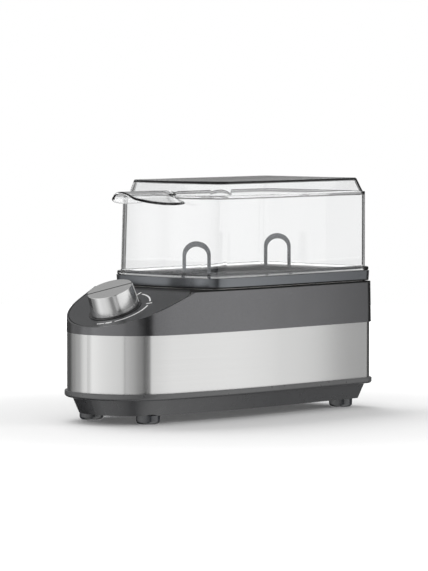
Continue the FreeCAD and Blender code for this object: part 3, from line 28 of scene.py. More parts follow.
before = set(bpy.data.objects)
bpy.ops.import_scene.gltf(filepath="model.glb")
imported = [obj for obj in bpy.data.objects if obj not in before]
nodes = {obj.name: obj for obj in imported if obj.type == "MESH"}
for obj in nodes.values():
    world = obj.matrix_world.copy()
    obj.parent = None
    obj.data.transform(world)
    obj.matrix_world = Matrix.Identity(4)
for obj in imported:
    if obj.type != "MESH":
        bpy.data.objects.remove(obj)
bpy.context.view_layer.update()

MM = 0.001
collection = bpy.context.scene.collection


# Shader helpers

# Painted shade in the gap under the tray.
GAP_SHADE_BLACK = (0.008, 0.008, 0.008)
# Painted shade in the knob cap's groove.
GROOVE_SHADE = (0.10, 0.10, 0.10)

# Sockets that share their names with others on the same node.
FIRST_NUMBER, SECOND_NUMBER = 2, 3
FIRST_COLOUR, SECOND_COLOUR, MIXED_COLOUR = 6, 7, 2
COMPARE_REACH = 2


class Shader:
    """A node material that is put together by name, with one Principled shader at its end."""

    def __init__(self, name):
        self.material = bpy.data.materials.new(name)
        self.material.use_nodes = True
        self.tree = self.material.node_tree
        self.surface = self.tree.nodes["Principled BSDF"]
        self.place = self.add("ShaderNodeTexCoord").outputs["Object"]

    def add(self, kind, **settings):
        node = self.tree.nodes.new(kind)
        for key, value in settings.items():
            setattr(node, key, value)
        return node

    def link(self, source, target):
        self.tree.links.new(source, target)

    def set(self, **values):
        for key, value in values.items():
            self.surface.inputs[key.replace("_", " ")].default_value = value

    def stretched(self, scale, vector=None):
        """Object coordinates, or another vector, stretched by a factor along each axis."""
        mapping = self.add("ShaderNodeMapping")
        mapping.inputs["Scale"].default_value = scale
        self.link(vector or self.place, mapping.inputs["Vector"])
        return mapping.outputs["Vector"]

    def turned(self):
        """The distance from the object's own Z axis as X, and the height as Z."""
        split = self.add("ShaderNodeSeparateXYZ")
        self.link(self.place, split.inputs[0])
        flat = self.add("ShaderNodeCombineXYZ")
        self.link(split.outputs["X"], flat.inputs["X"])
        self.link(split.outputs["Y"], flat.inputs["Y"])
        reach = self.add("ShaderNodeVectorMath", operation="LENGTH")
        self.link(flat.outputs[0], reach.inputs[0])
        joined = self.add("ShaderNodeCombineXYZ")
        self.link(reach.outputs["Value"], joined.inputs["X"])
        self.link(split.outputs["Z"], joined.inputs["Z"])
        return joined.outputs[0]

    def noise(self, scale, detail=3.0, roughness=0.5, vector=None):
        node = self.add("ShaderNodeTexNoise")
        node.inputs["Scale"].default_value = scale
        node.inputs["Detail"].default_value = detail
        node.inputs["Roughness"].default_value = roughness
        self.link(vector or self.place, node.inputs["Vector"])
        return node.outputs["Fac"]

    def spread(self, source, low, high, start=0.3, end=0.7):
        """Map a pattern's middle range to the values from low to high."""
        node = self.add("ShaderNodeMapRange")
        node.inputs["From Min"].default_value = start
        node.inputs["From Max"].default_value = end
        node.inputs["To Min"].default_value = low
        node.inputs["To Max"].default_value = high
        self.link(source, node.inputs["Value"])
        return node.outputs["Result"]

    def between(self, share, first, second):
        """Mix two colours by a pattern. The first may be a pattern too."""
        node = self.add("ShaderNodeMix", data_type="RGBA")
        if isinstance(first, tuple):
            node.inputs[FIRST_COLOUR].default_value = (*first, 1.0)
        else:
            self.link(first, node.inputs[FIRST_COLOUR])
        node.inputs[SECOND_COLOUR].default_value = (*second, 1.0)
        self.link(share, node.inputs[0])
        return node.outputs[MIXED_COLOUR]

    def height(self):
        """The height in the object's own coordinates."""
        split = self.add("ShaderNodeSeparateXYZ")
        self.link(self.place, split.inputs[0])
        return split.outputs["Z"]

    def math(self, operation, source, value):
        """A sum, product or comparison of a pattern with a number or another pattern."""
        node = self.add("ShaderNodeMath", operation=operation)
        self.link(source, node.inputs[0])
        if isinstance(value, float):
            node.inputs[1].default_value = value
        else:
            self.link(value, node.inputs[1])
        return node.outputs[0]

    def edge(self, start, end):
        """0 at the start's height and 1 at the end's."""
        low, high = (0.0, 1.0) if start < end else (1.0, 0.0)
        return self.spread(self.height(), low, high, min(start, end), max(start, end))

    def groove(self, turn, width, low, high):
        """1 inside a groove through the object's axis, between two heights, and 0 elsewhere."""
        aside = self.add("ShaderNodeVectorMath", operation="DOT_PRODUCT")
        self.link(self.place, aside.inputs[0])
        aside.inputs[1].default_value = (-math.sin(turn), math.cos(turn), 0.0)
        near = self.math("COMPARE", aside.outputs["Value"], 0.0)
        near.node.inputs[COMPARE_REACH].default_value = width / 2
        height = self.height()
        above = self.math("GREATER_THAN", height, low)
        below = self.math("LESS_THAN", height, high)
        return self.math("MULTIPLY", near, self.math("MULTIPLY", above, below))

    def colour(self, source):
        self.link(source, self.surface.inputs["Base Color"])

    def roughness(self, source):
        self.link(source, self.surface.inputs["Roughness"])

    def bump(self, source, depth):
        node = self.add("ShaderNodeBump")
        node.inputs["Strength"].default_value = 1.0
        node.inputs["Distance"].default_value = depth
        self.link(source, node.inputs["Height"])
        self.link(node.outputs["Normal"], self.surface.inputs["Normal"])


GRAIN_DETAIL = {"detail": 2.0, "roughness": 0.6}
GLOSS_VARIATION = 0.04
LACQUER_VARIATION = 0.02
GLOSS_PATCHES = 6


def moulded(name, dark, light, rough, grain=5200.0, patches=38.0, bead_highlight=None):
    """Moulded plastic: a fine spark-eroded grain, faint colour drift and slightly uneven gloss.
    A bead, (start, end, colour), is painted paler above its heights: a painted highlight where its
    rounded edge catches light from above."""
    shader = Shader(name)
    drift = shader.noise(patches, detail=2.0)
    shade = shader.between(shader.spread(drift, 0.0, 1.0), dark, light)
    # Painted highlight: the colour turns paler above the given heights.
    if bead_highlight:
        start, end, highlight_colour = bead_highlight
        shade = shader.between(shader.edge(start * MM, end * MM), shade, highlight_colour)
    shader.colour(shade)
    gloss = shader.noise(patches * GLOSS_PATCHES)
    shader.roughness(shader.spread(gloss, rough - GLOSS_VARIATION, rough + GLOSS_VARIATION))
    shader.bump(shader.noise(grain, **GRAIN_DETAIL), 0.01 * MM)
    return shader


def lacquered(name, dark, light, rough, edge, depth=0.000002):
    """Anthracite lacquer: dark metal pigment in fine flakes, under an even, satin surface.
    Between the edge's two heights, beside a gap, it is painted matt and near black: painted shade."""
    shader = Shader(name)
    speck = shader.noise(2600.0, detail=1.0)
    pigment = shader.between(shader.spread(speck, 0.0, 1.0, 0.35, 0.65), dark, light)
    # Painted shade: between the two heights the lacquer turns near black, matt and not metallic.
    share = shader.edge(*(height * MM for height in edge))
    shader.colour(shader.between(share, pigment, GAP_SHADE_BLACK))
    shader.link(shader.spread(share, 1.0, 0.0, 0.0, 1.0), shader.surface.inputs["Metallic"])
    gloss = shader.noise(60.0)
    gloss = shader.spread(gloss, rough - LACQUER_VARIATION, rough + LACQUER_VARIATION)
    shader.roughness(shader.math("MAXIMUM", gloss, share))
    shader.bump(shader.noise(6000.0, **GRAIN_DETAIL), depth)
    return shader


LINE_SPREAD = (0.25, 0.75)


def metal(name, dark, light, rough, grain, depth, variation=0.05, turned=False, line=None):
    """Metal with a grain that has its own scale along each axis, or, where turned, outwards and
    upwards. It is painted darker in the line's groove: painted shade in the recess."""
    shader = Shader(name)
    shader.set(Metallic=1.0)
    stretch = shader.stretched(grain, shader.turned() if turned else None)
    lines = shader.noise(1.0, detail=4.0, roughness=0.65, vector=stretch)
    shade = shader.between(shader.spread(lines, 0.0, 1.0, *LINE_SPREAD), dark, light)
    # Painted shade: the colour turns darker inside the line's groove.
    shader.colour(shader.between(shader.groove(*line), shade, GROOVE_SHADE) if line else shade)
    shader.roughness(shader.spread(lines, rough - variation, rough + variation, *LINE_SPREAD))
    shader.bump(lines, depth)
    return shader


def around_axis(shader, amount):
    """Stretch the highlight across a grain that runs round the object's own Z axis."""
    tangent = shader.add("ShaderNodeTangent", direction_type="RADIAL", axis="Z")
    shader.link(tangent.outputs["Tangent"], shader.surface.inputs["Tangent"])
    shader.set(Anisotropic=amount, Anisotropic_Rotation=0.25)


# Heights, in millimetres, between which an edge beside the gap under the tray is painted near
# black: painted shade in the gap.
HOUSING_GAP_SHADE = (77.2, 77.5)
FACIA_GAP_SHADE = (76.4, 78.4)
RIM_GAP_SHADE = (79.6, 79.3)
# Painted highlight on the base's flange: paler above these heights, in millimetres.
BASE_BEAD_HIGHLIGHT = (15.4, 16.2, (0.085, 0.086, 0.088))

charcoal = lacquered(
    "charcoal_lacquer", (0.150, 0.150, 0.154), (0.178, 0.178, 0.184), 0.20, HOUSING_GAP_SHADE,
)
facia_lacquer = lacquered(
    "facia_lacquer", (0.125, 0.127, 0.132), (0.180, 0.182, 0.188), 0.36, FACIA_GAP_SHADE, depth=0.000004,
)
rim_lacquer = lacquered(
    "rim_lacquer", (0.175, 0.184, 0.196), (0.195, 0.204, 0.216), 0.24, RIM_GAP_SHADE,
)
base_plastic = moulded(
    "base_plastic", (0.022, 0.023, 0.026), (0.030, 0.031, 0.034), 0.30, bead_highlight=BASE_BEAD_HIGHLIGHT,
)
base_plastic.set(Specular_IOR_Level=1.0)
black_plastic = moulded("black_plastic", (0.008, 0.008, 0.009), (0.012, 0.012, 0.013), 0.30)
rubber = moulded("foot_rubber", (0.020, 0.023, 0.030), (0.028, 0.031, 0.038), 0.22, grain=3000.0)
rubber.set(Specular_IOR_Level=1.0)
silicone = moulded("seal_silicone", (0.58, 0.58, 0.56), (0.64, 0.64, 0.62), 0.6)
print_ink = moulded("pale_print", (0.95, 0.95, 0.95), (0.98, 0.98, 0.98), 0.35)
nylon = moulded("switch_plastic", (0.16, 0.17, 0.19), (0.20, 0.21, 0.23), 0.3)
board_green = moulded("board_laminate", (0.03, 0.16, 0.07), (0.05, 0.22, 0.10), 0.3)
relay_blue = moulded("relay_plastic", (0.04, 0.10, 0.28), (0.06, 0.13, 0.34), 0.3)
terminal_green = moulded("terminal_plastic", (0.08, 0.30, 0.15), (0.11, 0.36, 0.19), 0.35)
sleeves = {
    "lead_live": moulded("brown_insulation", (0.20, 0.10, 0.04), (0.28, 0.14, 0.06), 0.4),
    "lead_earth": moulded(
        "green_insulation", (0.18, 0.36, 0.08), (0.60, 0.56, 0.08), 0.4, patches=160.0,
    ),
    "lead_neutral": moulded("blue_insulation", (0.05, 0.14, 0.38), (0.07, 0.18, 0.44), 0.4),
    "element_lead_near": moulded("white_insulation", (0.72, 0.71, 0.68), (0.80, 0.79, 0.76), 0.55),
}
sleeves["element_lead_far"] = sleeves["element_lead_near"]

band_steel = metal(
    "brushed_band", (0.690, 0.690, 0.685), (0.745, 0.745, 0.740), 0.22, (10, 10, 5200), 0.000001,
    variation=0.02,
)
around_axis(band_steel, 1.0)

# The knob's turn, and the line across its cap, whose heights are measured from the facia.
KNOB_TURN = math.radians(-47.5)
CAP_HIGH = 13.2
LINE_WIDTH, LINE_DEPTH = 1.3, 0.6
LINE_SKIN = 0.03
# Where the cap's line is painted darker, as painted shade: its turn, width and heights.
CAP_LINE_SHADE = (
    KNOB_TURN, LINE_WIDTH * MM,
    (CAP_HIGH - LINE_DEPTH - LINE_SKIN) * MM, (CAP_HIGH - LINE_SKIN) * MM,
)
cap_metal = metal(
    "turned_metal", (0.76, 0.76, 0.76), (0.82, 0.82, 0.815), 0.18, (4200, 1, 4200), 0.000001,
    variation=0.03, turned=True, line=CAP_LINE_SHADE,
)
around_axis(cap_metal, 0.6)
bowl_steel = metal(
    "bowl_steel", (0.52, 0.52, 0.51), (0.62, 0.62, 0.60), 0.34, (400, 400, 400), 0.000008,
)
plated = metal(
    "zinc_steel", (0.56, 0.57, 0.59), (0.66, 0.67, 0.69), 0.3, (900, 900, 900), 0.000004,
)
sawn = metal(
    "spreader_metal", (0.60, 0.60, 0.59), (0.70, 0.70, 0.69), 0.4, (40, 1800, 40), 0.00001,
)
tube_steel = metal(
    "element_steel", (0.20, 0.20, 0.19), (0.32, 0.31, 0.30), 0.45, (300, 300, 300), 0.00001,
)

clear = Shader("clear_plastic")
clear.set(Transmission_Weight=1.0, IOR=1.49)
haze = clear.spread(clear.noise(30.0), 0.0, 1.0)
clear.colour(clear.between(haze, (0.950, 0.953, 0.955), (0.958, 0.961, 0.962)))
clear.roughness(clear.spread(clear.noise(120.0), 0.0, 0.015))

FINISH = {
    "base_tray": base_plastic,
    "steel_band": band_steel,
    "cord_gland": black_plastic,
    "upper_housing": charcoal,
    "control_facia": facia_lacquer,
    "dial_marks": print_ink,
    # The knob ring's near-black plastic is partly painted shade: it also stands for the shade in
    # the recess round the knob.
    "knob_ring": black_plastic,
    "knob_cap": cap_metal,
    "knob_insert": black_plastic,
    "knob_pointer": print_ink,
    "control_shaft": plated,
    "rotary_control": nylon,
    "control_nut": plated,
    "heating_bowl": bowl_steel,
    "bowl_gasket": silicone,
    "heat_spreader": sawn,
    "heating_element": tube_steel,
    "element_straps": plated,
    "strap_screws": plated,
    "thermostat": sawn,
    "fuse_clip": black_plastic,
    "thermal_fuse": plated,
    "control_board": board_green,
    "board_screws": plated,
    "board_relay": relay_blue,
    "buzzer": black_plastic,
    "board_capacitors": tube_steel,
    "terminal_block": terminal_green,
    "egg_tray": rim_lacquer,
    "lid": clear,
    "base_screws": plated,
    "foot_front_near": rubber,
    "foot_front_far": rubber,
    "foot_rear_near": rubber,
    "foot_rear_far": rubber,
    **sleeves,
}


def dress(item, shader):
    item.data.materials.clear()
    item.data.materials.append(shader.material)


WELD_REACH = 0.002
SHARP_ANGLE = 28.0


def weld(item):
    """Join the split faces of a part."""
    item.modifiers.new("weld", "WELD").merge_threshold = WELD_REACH * MM


def soften(item, width):
    """Round the edges of a part a little."""
    weld(item)
    bevel = item.modifiers.new("edges", "BEVEL")
    bevel.width = width
    bevel.segments = 3
    bevel.limit_method = "ANGLE"
    bevel.angle_limit = math.radians(SHARP_ANGLE)
    bevel.use_clamp_overlap = True
    bevel.harden_normals = False
    item.modifiers.new("normals", "WEIGHTED_NORMAL")


for name, item in nodes.items():
    dress(item, FINISH[name])

EDGE_ROUNDS = {
    "upper_housing": 0.35,
    "control_facia": 0.15,
    "egg_tray": 0.3,
    "base_tray": 0.25,
    "cord_gland": 0.2,
    "knob_ring": 0.1,
}
for name, size in EDGE_ROUNDS.items():
    soften(nodes[name], size * MM)


def swell(item, amount):
    """Let a printed mark or an inlay stand out a little more on all sides."""
    weld(item)
    grow = item.modifiers.new("swell", "DISPLACE")
    grow.strength = amount
    grow.mid_level = 0.0


SWELL = 0.14
for name in ("dial_marks", "knob_pointer"):
    swell(nodes[name], SWELL * MM)


# Outlines, in millimetres: the same arcs as in the part's own plan

HALF_WIDTH = 46.1
REAR_X = 104.85
STRAIGHT_SIDE = 88.7
FLANK_X = REAR_X - STRAIGHT_SIDE
NOSE_STATION = -REAR_X
NOSE_RADIUS = 43.205
NOSE_CORNER = 38.899
TANK_STATION = -45.6
TANK_RADIUS = 150.0
TANK_CORNER = 16.0
REAR_ROUND = 8.2
LEAST_CORNER = 1.5
FLANK_RUN = 2 * REAR_X - STRAIGHT_SIDE - NOSE_RADIUS
FLANK_FALL = 5.961
FLANK_RADIUS = (FLANK_RUN ** 2 / FLANK_FALL + FLANK_FALL) / 2
LINE_STEPS, REAR_STEPS, SIDE_STEPS, FLANK_STEPS, CORNER_STEPS, NOSE_STEPS = 6, 12, 4, 20, 28, 44


def arc_points(centre, radius, start, end, count):
    """Points on an arc, without its last one."""
    x, y = centre
    turns = (start + (end - start) * step / count for step in range(count))
    return [(x + radius * math.cos(turn), y + radius * math.sin(turn)) for turn in turns]


def line_points(start, end, count):
    """Points on a line, without its last one."""
    (x, y), (end_x, end_y) = start, end
    shares = (step / count for step in range(count))
    return [(x + (end_x - x) * share, y + (end_y - y) * share) for share in shares]


def outline(station, nose_radius, corner_radius, rear_radius, offset):
    """Points round the boat-shaped plan: as many for every plan, so that outlines can be joined."""
    rear_size = max(rear_radius + offset, LEAST_CORNER)
    corner_size = max(corner_radius + offset, LEAST_CORNER)
    flank_size = FLANK_RADIUS + offset
    front_size = nose_radius + offset
    flank = (FLANK_X, FLANK_RADIUS - HALF_WIDTH)
    nose = (station + nose_radius, 0.0)
    to_flank, to_nose = flank_size - corner_size, front_size - corner_size
    span = math.hypot(flank[0] - nose[0], flank[1] - nose[1])
    along = (to_flank ** 2 - to_nose ** 2 + span ** 2) / (2 * span)
    across = math.sqrt(to_flank ** 2 - along ** 2)
    ux, uy = (nose[0] - flank[0]) / span, (nose[1] - flank[1]) / span
    choices = [
        (flank[0] + along * ux - side * across * uy, flank[1] + along * uy + side * across * ux)
        for side in (1, -1)
    ]
    corner = min((choice for choice in choices if choice[1] < 0), key=lambda choice: choice[0])
    at_flank = math.atan2(corner[1] - flank[1], corner[0] - flank[0])
    at_nose = math.atan2(corner[1] - nose[1], corner[0] - nose[0])
    side_y, rear_edge = HALF_WIDTH + offset, REAR_X + offset
    rear_x, rear_y = rear_edge - rear_size, side_y - rear_size
    quarter = math.pi / 2
    return [
        *line_points((rear_edge, -rear_y), (rear_edge, rear_y), LINE_STEPS),
        *arc_points((rear_x, rear_y), rear_size, 0, quarter, REAR_STEPS),
        *line_points((rear_x, side_y), (flank[0], side_y), SIDE_STEPS),
        *arc_points((flank[0], -flank[1]), flank_size, quarter, -at_flank, FLANK_STEPS),
        *arc_points((corner[0], -corner[1]), corner_size, -at_flank, -at_nose, CORNER_STEPS),
        *arc_points(nose, front_size, -at_nose, 2 * math.pi + at_nose, NOSE_STEPS),
        *arc_points(corner, corner_size, at_nose, at_flank, CORNER_STEPS),
        *arc_points(flank, flank_size, at_flank, -quarter, FLANK_STEPS),
        *line_points((flank[0], -side_y), (rear_x, -side_y), SIDE_STEPS),
        *arc_points((rear_x, -rear_y), rear_size, -quarter, 0, REAR_STEPS),
    ]


# Mesh helpers

ROUND_STEPS = 4


def rounded(profile, closed=False):
    """Round the corners of a profile. Each entry ends in its rounding, and its first two values
    are the offset and the height, by which distances along the profile are measured."""
    result = []
    count = len(profile)
    for index, entry in enumerate(profile):
        *values, size = entry
        inner = closed or 0 < index < count - 1
        if not size or not inner:
            result.append(tuple(values))
            continue
        before = profile[index - 1][:-1]
        after = profile[(index + 1) % count][:-1]

        def towards(other):
            share = size / math.hypot(other[0] - values[0], other[1] - values[1])
            return [value + (far - value) * share for value, far in zip(values, other)]

        start, end = towards(before), towards(after)
        for step in range(ROUND_STEPS + 1):
            share = step / ROUND_STEPS
            first, middle, last = (1 - share) ** 2, 2 * share * (1 - share), share ** 2
            result.append(tuple(
                first * a + middle * b + last * c for a, b, c in zip(start, values, end)
            ))
    return result


def ring_mesh(name, rings, closed=False):
    """A solid through rings of points in millimetres: capped at both ends, or closed on itself."""
    shape = bmesh.new()
    loops = [[shape.verts.new([value * MM for value in point]) for point in ring] for ring in rings]
    pairs = list(zip(loops, loops[1:]))
    if closed:
        pairs.append((loops[-1], loops[0]))
    for low, high in pairs:
        for index in range(len(low)):
            following = (index + 1) % len(low)
            shape.faces.new((low[index], low[following], high[following], high[index]))
    if not closed:
        shape.faces.new(loops[0])
        shape.faces.new(loops[-1])
    bmesh.ops.recalc_face_normals(shape, faces=shape.faces)
    mesh = bpy.data.meshes.new(name)
    shape.to_mesh(mesh)
    shape.free()
    return mesh


def combined(name, base, *steps):
    """The base mesh after each step, (operation, mesh), has been carried out on it."""
    helpers = [bpy.data.objects.new(name, base)]
    for operation, mesh in steps:
        helpers.append(bpy.data.objects.new(f"{name}_tool", mesh))
        change = helpers[0].modifiers.new(operation.lower(), "BOOLEAN")
        change.operation = operation
        change.solver = "EXACT"
        change.object = helpers[-1]
    for helper in helpers:
        collection.objects.link(helper)
    graph = bpy.context.evaluated_depsgraph_get()
    result = bpy.data.meshes.new_from_object(helpers[0].evaluated_get(graph))
    for helper in helpers:
        bpy.data.objects.remove(helper)
    return result


PIECE_SHARP_ANGLE = 32.0


def make_piece(name, mesh, shader, node, body):
    """A finished piece that stands for a node and rides on its body."""
    mesh.materials.clear()
    mesh.materials.append(shader.material)
    mesh.polygons.foreach_set("use_smooth", [True] * len(mesh.polygons))
    mesh.set_sharp_from_angle(angle=math.radians(PIECE_SHARP_ANGLE))
    piece = bpy.data.objects.new(name, mesh)
    collection.objects.link(piece)
    normals = piece.modifiers.new("normals", "WEIGHTED_NORMAL")
    normals.keep_sharp = True
    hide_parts(node)
    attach(piece, body)
    return piece


CIRCLE_STEPS = 96


def circle(radius, height, count=CIRCLE_STEPS):
    return [(x, y, height) for x, y in arc_points((0, 0), radius, 0, 2 * math.pi, count)]


# Steel band: one brushed sheet round the body, with soft edges and a hole for the cord's gland

BAND_LOW, BAND_HIGH = 17.8, 53.0
BAND_SHEET = 0.6
BAND_EDGE = 0.2
GLAND_HEIGHT = 36.0
GLAND_HOLE = 5.7
DRILL_REACH = 4.0


def make_band():
    profile = rounded([
        (0.0, BAND_LOW, BAND_EDGE), (0.0, BAND_HIGH, BAND_EDGE),
        (-BAND_SHEET, BAND_HIGH, BAND_EDGE), (-BAND_SHEET, BAND_LOW, BAND_EDGE),
    ], closed=True)
    rings = [
        [
            (x, y, height)
            for x, y in outline(NOSE_STATION, NOSE_RADIUS, NOSE_CORNER, REAR_ROUND, offset)
        ]
        for offset, height in profile
    ]
    drill = ring_mesh("drill", [
        [(x, y, GLAND_HEIGHT + z) for y, z, x in circle(GLAND_HOLE, REAR_X + side * DRILL_REACH)]
        for side in (-1, 1)
    ])
    sheet = ring_mesh("band", rings, closed=True)
    mesh = combined("steel_band_brushed", sheet, ("DIFFERENCE", drill))
    make_piece("steel_band_brushed", mesh, band_steel, "steel_band", "body")


make_band()


# Lid: clear box with a flange, a ledge under its sloping shoulder, a low crown and a bent lip

SHOULDER_REAR = 11.0

# Sections of the lid from below upwards: the offset from the body's plan, the height, how far
# the front leans back, the radius of the rear corners in plan, and the rounding at that section.
LID_OUTSIDE = [
    (-5.2, 81.6, 0, REAR_ROUND, 0),
    (-4.5, 81.6, 0, REAR_ROUND, 0.3),
    (-4.5, 84.72, 0, REAR_ROUND, 0.2),
    (-0.6, 84.72, 0, REAR_ROUND, 1.1),
    (-0.6, 87.2, 0, REAR_ROUND, 1.1),
    (-2.9, 87.2, 0, REAR_ROUND, 0.6),
    (-2.9, 133.6, 2.1, REAR_ROUND, 0.5),
    (-4.3, 133.6, 5.9, REAR_ROUND, 0.4),
    (-7.3, 142.0, 5.9, SHOULDER_REAR, 0.8),
    (-25.3, 142.5, 5.9, SHOULDER_REAR, 0),
]
LID_CAVITY = [
    (-5.9, 80.6, 0, REAR_ROUND, 0),
    (-5.9, 87.2, 0, REAR_ROUND, 0.3),
    (-4.7, 87.2, 0, REAR_ROUND, 0.4),
    (-4.7, 131.8, 2.1, REAR_ROUND, 0.5),
    (-6.1, 131.8, 5.9, REAR_ROUND, 0.4),
    (-9.1, 140.2, 5.9, SHOULDER_REAR, 0.6),
    (-14.0, 140.2, 5.9, SHOULDER_REAR, 0),
]


def lid_mesh(name, sections):
    return ring_mesh(name, [
        [
            (x, y, height)
            for x, y in outline(TANK_STATION + lean, TANK_RADIUS, TANK_CORNER, rear, offset)
        ]
        for offset, height, lean, rear in rounded(sections)
    ])


LIP_CENTRE_X = -48.6
LIP_REACH = 28.3
LIP_HALF_WIDTH = 19.5
LIP_SHEET = 1.5
LIP_CREST = 136.4
LIP_WING = 129.3
LIP_BEND = 12.0
LIP_BEND_ANGLE = math.radians(35.0)
LIP_RIM_STEPS = 8
LIP_RINGS = 16
LIP_CORE = 0.05
LIP_STEPS = 120


def lip_section(y):
    """The height of the lip's upper face at a distance from its middle, and its slope there."""
    side = abs(y)
    middle = LIP_CREST - LIP_BEND
    turn = LIP_BEND * math.sin(LIP_BEND_ANGLE)
    hollow = (2 * turn, middle + 2 * LIP_BEND * math.cos(LIP_BEND_ANGLE))
    span = math.hypot(LIP_HALF_WIDTH - hollow[0], LIP_WING - hollow[1])
    to_tip = math.atan2(LIP_WING - hollow[1], LIP_HALF_WIDTH - hollow[0])
    touch = to_tip - math.acos(LIP_BEND / span)
    touch_y = hollow[0] + LIP_BEND * math.cos(touch)
    touch_z = hollow[1] + LIP_BEND * math.sin(touch)
    if side < turn:
        rise = math.sqrt(LIP_BEND ** 2 - side ** 2)
        height, slope = middle + rise, -side / rise
    elif side < touch_y:
        across = side - hollow[0]
        rise = math.sqrt(LIP_BEND ** 2 - across ** 2)
        height, slope = hollow[1] - rise, across / rise
    else:
        slope = (LIP_WING - touch_z) / (LIP_HALF_WIDTH - touch_y)
        height = touch_z + slope * (side - touch_y)
    return height, slope if y >= 0 else -slope


def lip_point(inset, share, depth, turn):
    """A point of the lip: inset from its rim, a share of the way out, at a depth from 0 to 1."""
    x = LIP_CENTRE_X - (LIP_REACH - inset) * share * math.cos(turn)
    y = (LIP_HALF_WIDTH - inset) * share * math.sin(turn)
    height, slope = lip_section(y)
    length = math.hypot(1.0, slope)
    down = depth * LIP_SHEET / length
    return (x, y + slope * down, height - down)


def lip_mesh():
    half = LIP_SHEET / 2
    turns = [2 * math.pi * step / LIP_STEPS for step in range(LIP_STEPS)]
    rings = []
    shares = [max(ring, LIP_CORE) / LIP_RINGS for ring in range(LIP_RINGS)]
    for share in shares:
        rings.append([lip_point(half, share, 0.0, turn) for turn in turns])
    for step in range(LIP_RIM_STEPS + 1):
        bend = math.pi * step / LIP_RIM_STEPS
        inset, depth = half * (1 - math.sin(bend)), (1 - math.cos(bend)) / 2
        rings.append([lip_point(inset, 1.0, depth, turn) for turn in turns])
    for share in reversed(shares):
        rings.append([lip_point(half, share, 1.0, turn) for turn in turns])
    return ring_mesh("lip", rings)


def make_lid():
    mesh = combined(
        "lid_clear", lid_mesh("lid_outside", LID_OUTSIDE),
        ("UNION", lip_mesh()), ("DIFFERENCE", lid_mesh("lid_cavity", LID_CAVITY)),
    )
    piece = make_piece("lid_clear", mesh, clear, "lid", "lid")
    piece.visible_shadow = False


make_lid()


# Knob cap: turned from metal, with a line cut across its face and a small centre mark

KNOB_X, KNOB_Z = -80.6, 67.146
KNOB_TILT = math.radians(22.3)
CAP_LOW = 0.5
CAP_BASE, CAP_TOP = 14.6, 13.7
CAP_WALL = 0.9
CAP_ROUND, CAP_FOOT_ROUND = 0.5, 0.2
CAP_STEPS, MARK_STEPS = 144, 32
OVERRUN = 1.0
MARK_RADIUS, MARK_DEPTH = 0.8, 0.25


def make_cap():
    outside = [
        circle(radius, height, CAP_STEPS)
        for radius, height in rounded([
            (CAP_BASE - CAP_WALL, CAP_LOW, 0), (CAP_BASE, CAP_LOW, CAP_FOOT_ROUND),
            (CAP_TOP, CAP_HIGH, CAP_ROUND), (CAP_TOP / 2, CAP_HIGH, 0),
        ])
    ]
    hollow = [
        circle(CAP_BASE - CAP_WALL, CAP_LOW - OVERRUN, CAP_STEPS),
        circle(CAP_TOP - CAP_WALL, CAP_HIGH - CAP_WALL, CAP_STEPS),
    ]
    across = Vector((-math.sin(KNOB_TURN), math.cos(KNOB_TURN)))
    along = Vector((math.cos(KNOB_TURN), math.sin(KNOB_TURN)))
    corners = [(-LINE_WIDTH, LINE_DEPTH), (LINE_WIDTH, LINE_DEPTH), (0.0, -LINE_DEPTH)]
    ends = [along * side * CAP_BASE * 2 for side in (-1, 1)]
    line = [
        [(*(end + across * side), CAP_HIGH + rise) for side, rise in corners]
        for end in ends
    ]
    cone = [(MARK_RADIUS / 3, -MARK_DEPTH), (MARK_RADIUS, 0.0), (MARK_RADIUS * 4 / 3, MARK_DEPTH)]
    mark = [circle(radius, CAP_HIGH + rise, MARK_STEPS) for radius, rise in cone]
    mesh = combined(
        "knob_cap_turned", ring_mesh("cap", outside),
        ("DIFFERENCE", ring_mesh("cap_hollow", hollow)),
        ("DIFFERENCE", ring_mesh("cap_line", line)),
        ("DIFFERENCE", ring_mesh("cap_mark", mark)),
    )
    piece = make_piece("knob_cap_turned", mesh, cap_metal, "knob_cap", "knob")
    seat = Matrix.Translation((KNOB_X * MM, 0.0, KNOB_Z * MM))
    piece.matrix_world = seat @ Matrix.Rotation(-KNOB_TILT, 4, "Y")


make_cap()


# Studio: floor, surroundings, lamps and camera

def straight_rays(tree, strength):
    """The strength for rays from the camera, a mirror or glass, and nothing for the others."""
    path = tree.nodes.new("ShaderNodeLightPath")
    total = path.outputs["Is Camera Ray"]
    for name in ("Is Glossy Ray", "Is Transmission Ray"):
        node = tree.nodes.new("ShaderNodeMath")
        node.operation = "MAXIMUM"
        tree.links.new(total, node.inputs[0])
        tree.links.new(path.outputs[name], node.inputs[1])
        total = node.outputs[0]
    node = tree.nodes.new("ShaderNodeMath")
    node.operation = "MULTIPLY"
    tree.links.new(total, node.inputs[0])
    tree.links.new(strength, node.inputs[1])
    return node.outputs[0]


FLOOR_RADIUS = 1.1
FLOOR_FADE = (0.14, 0.45)
FLOOR_GLOW = (0.06, 0.60)
FLOOR_COLOUR = (0.86, 0.86, 0.86, 1)
FLOOR_STEPS = 96


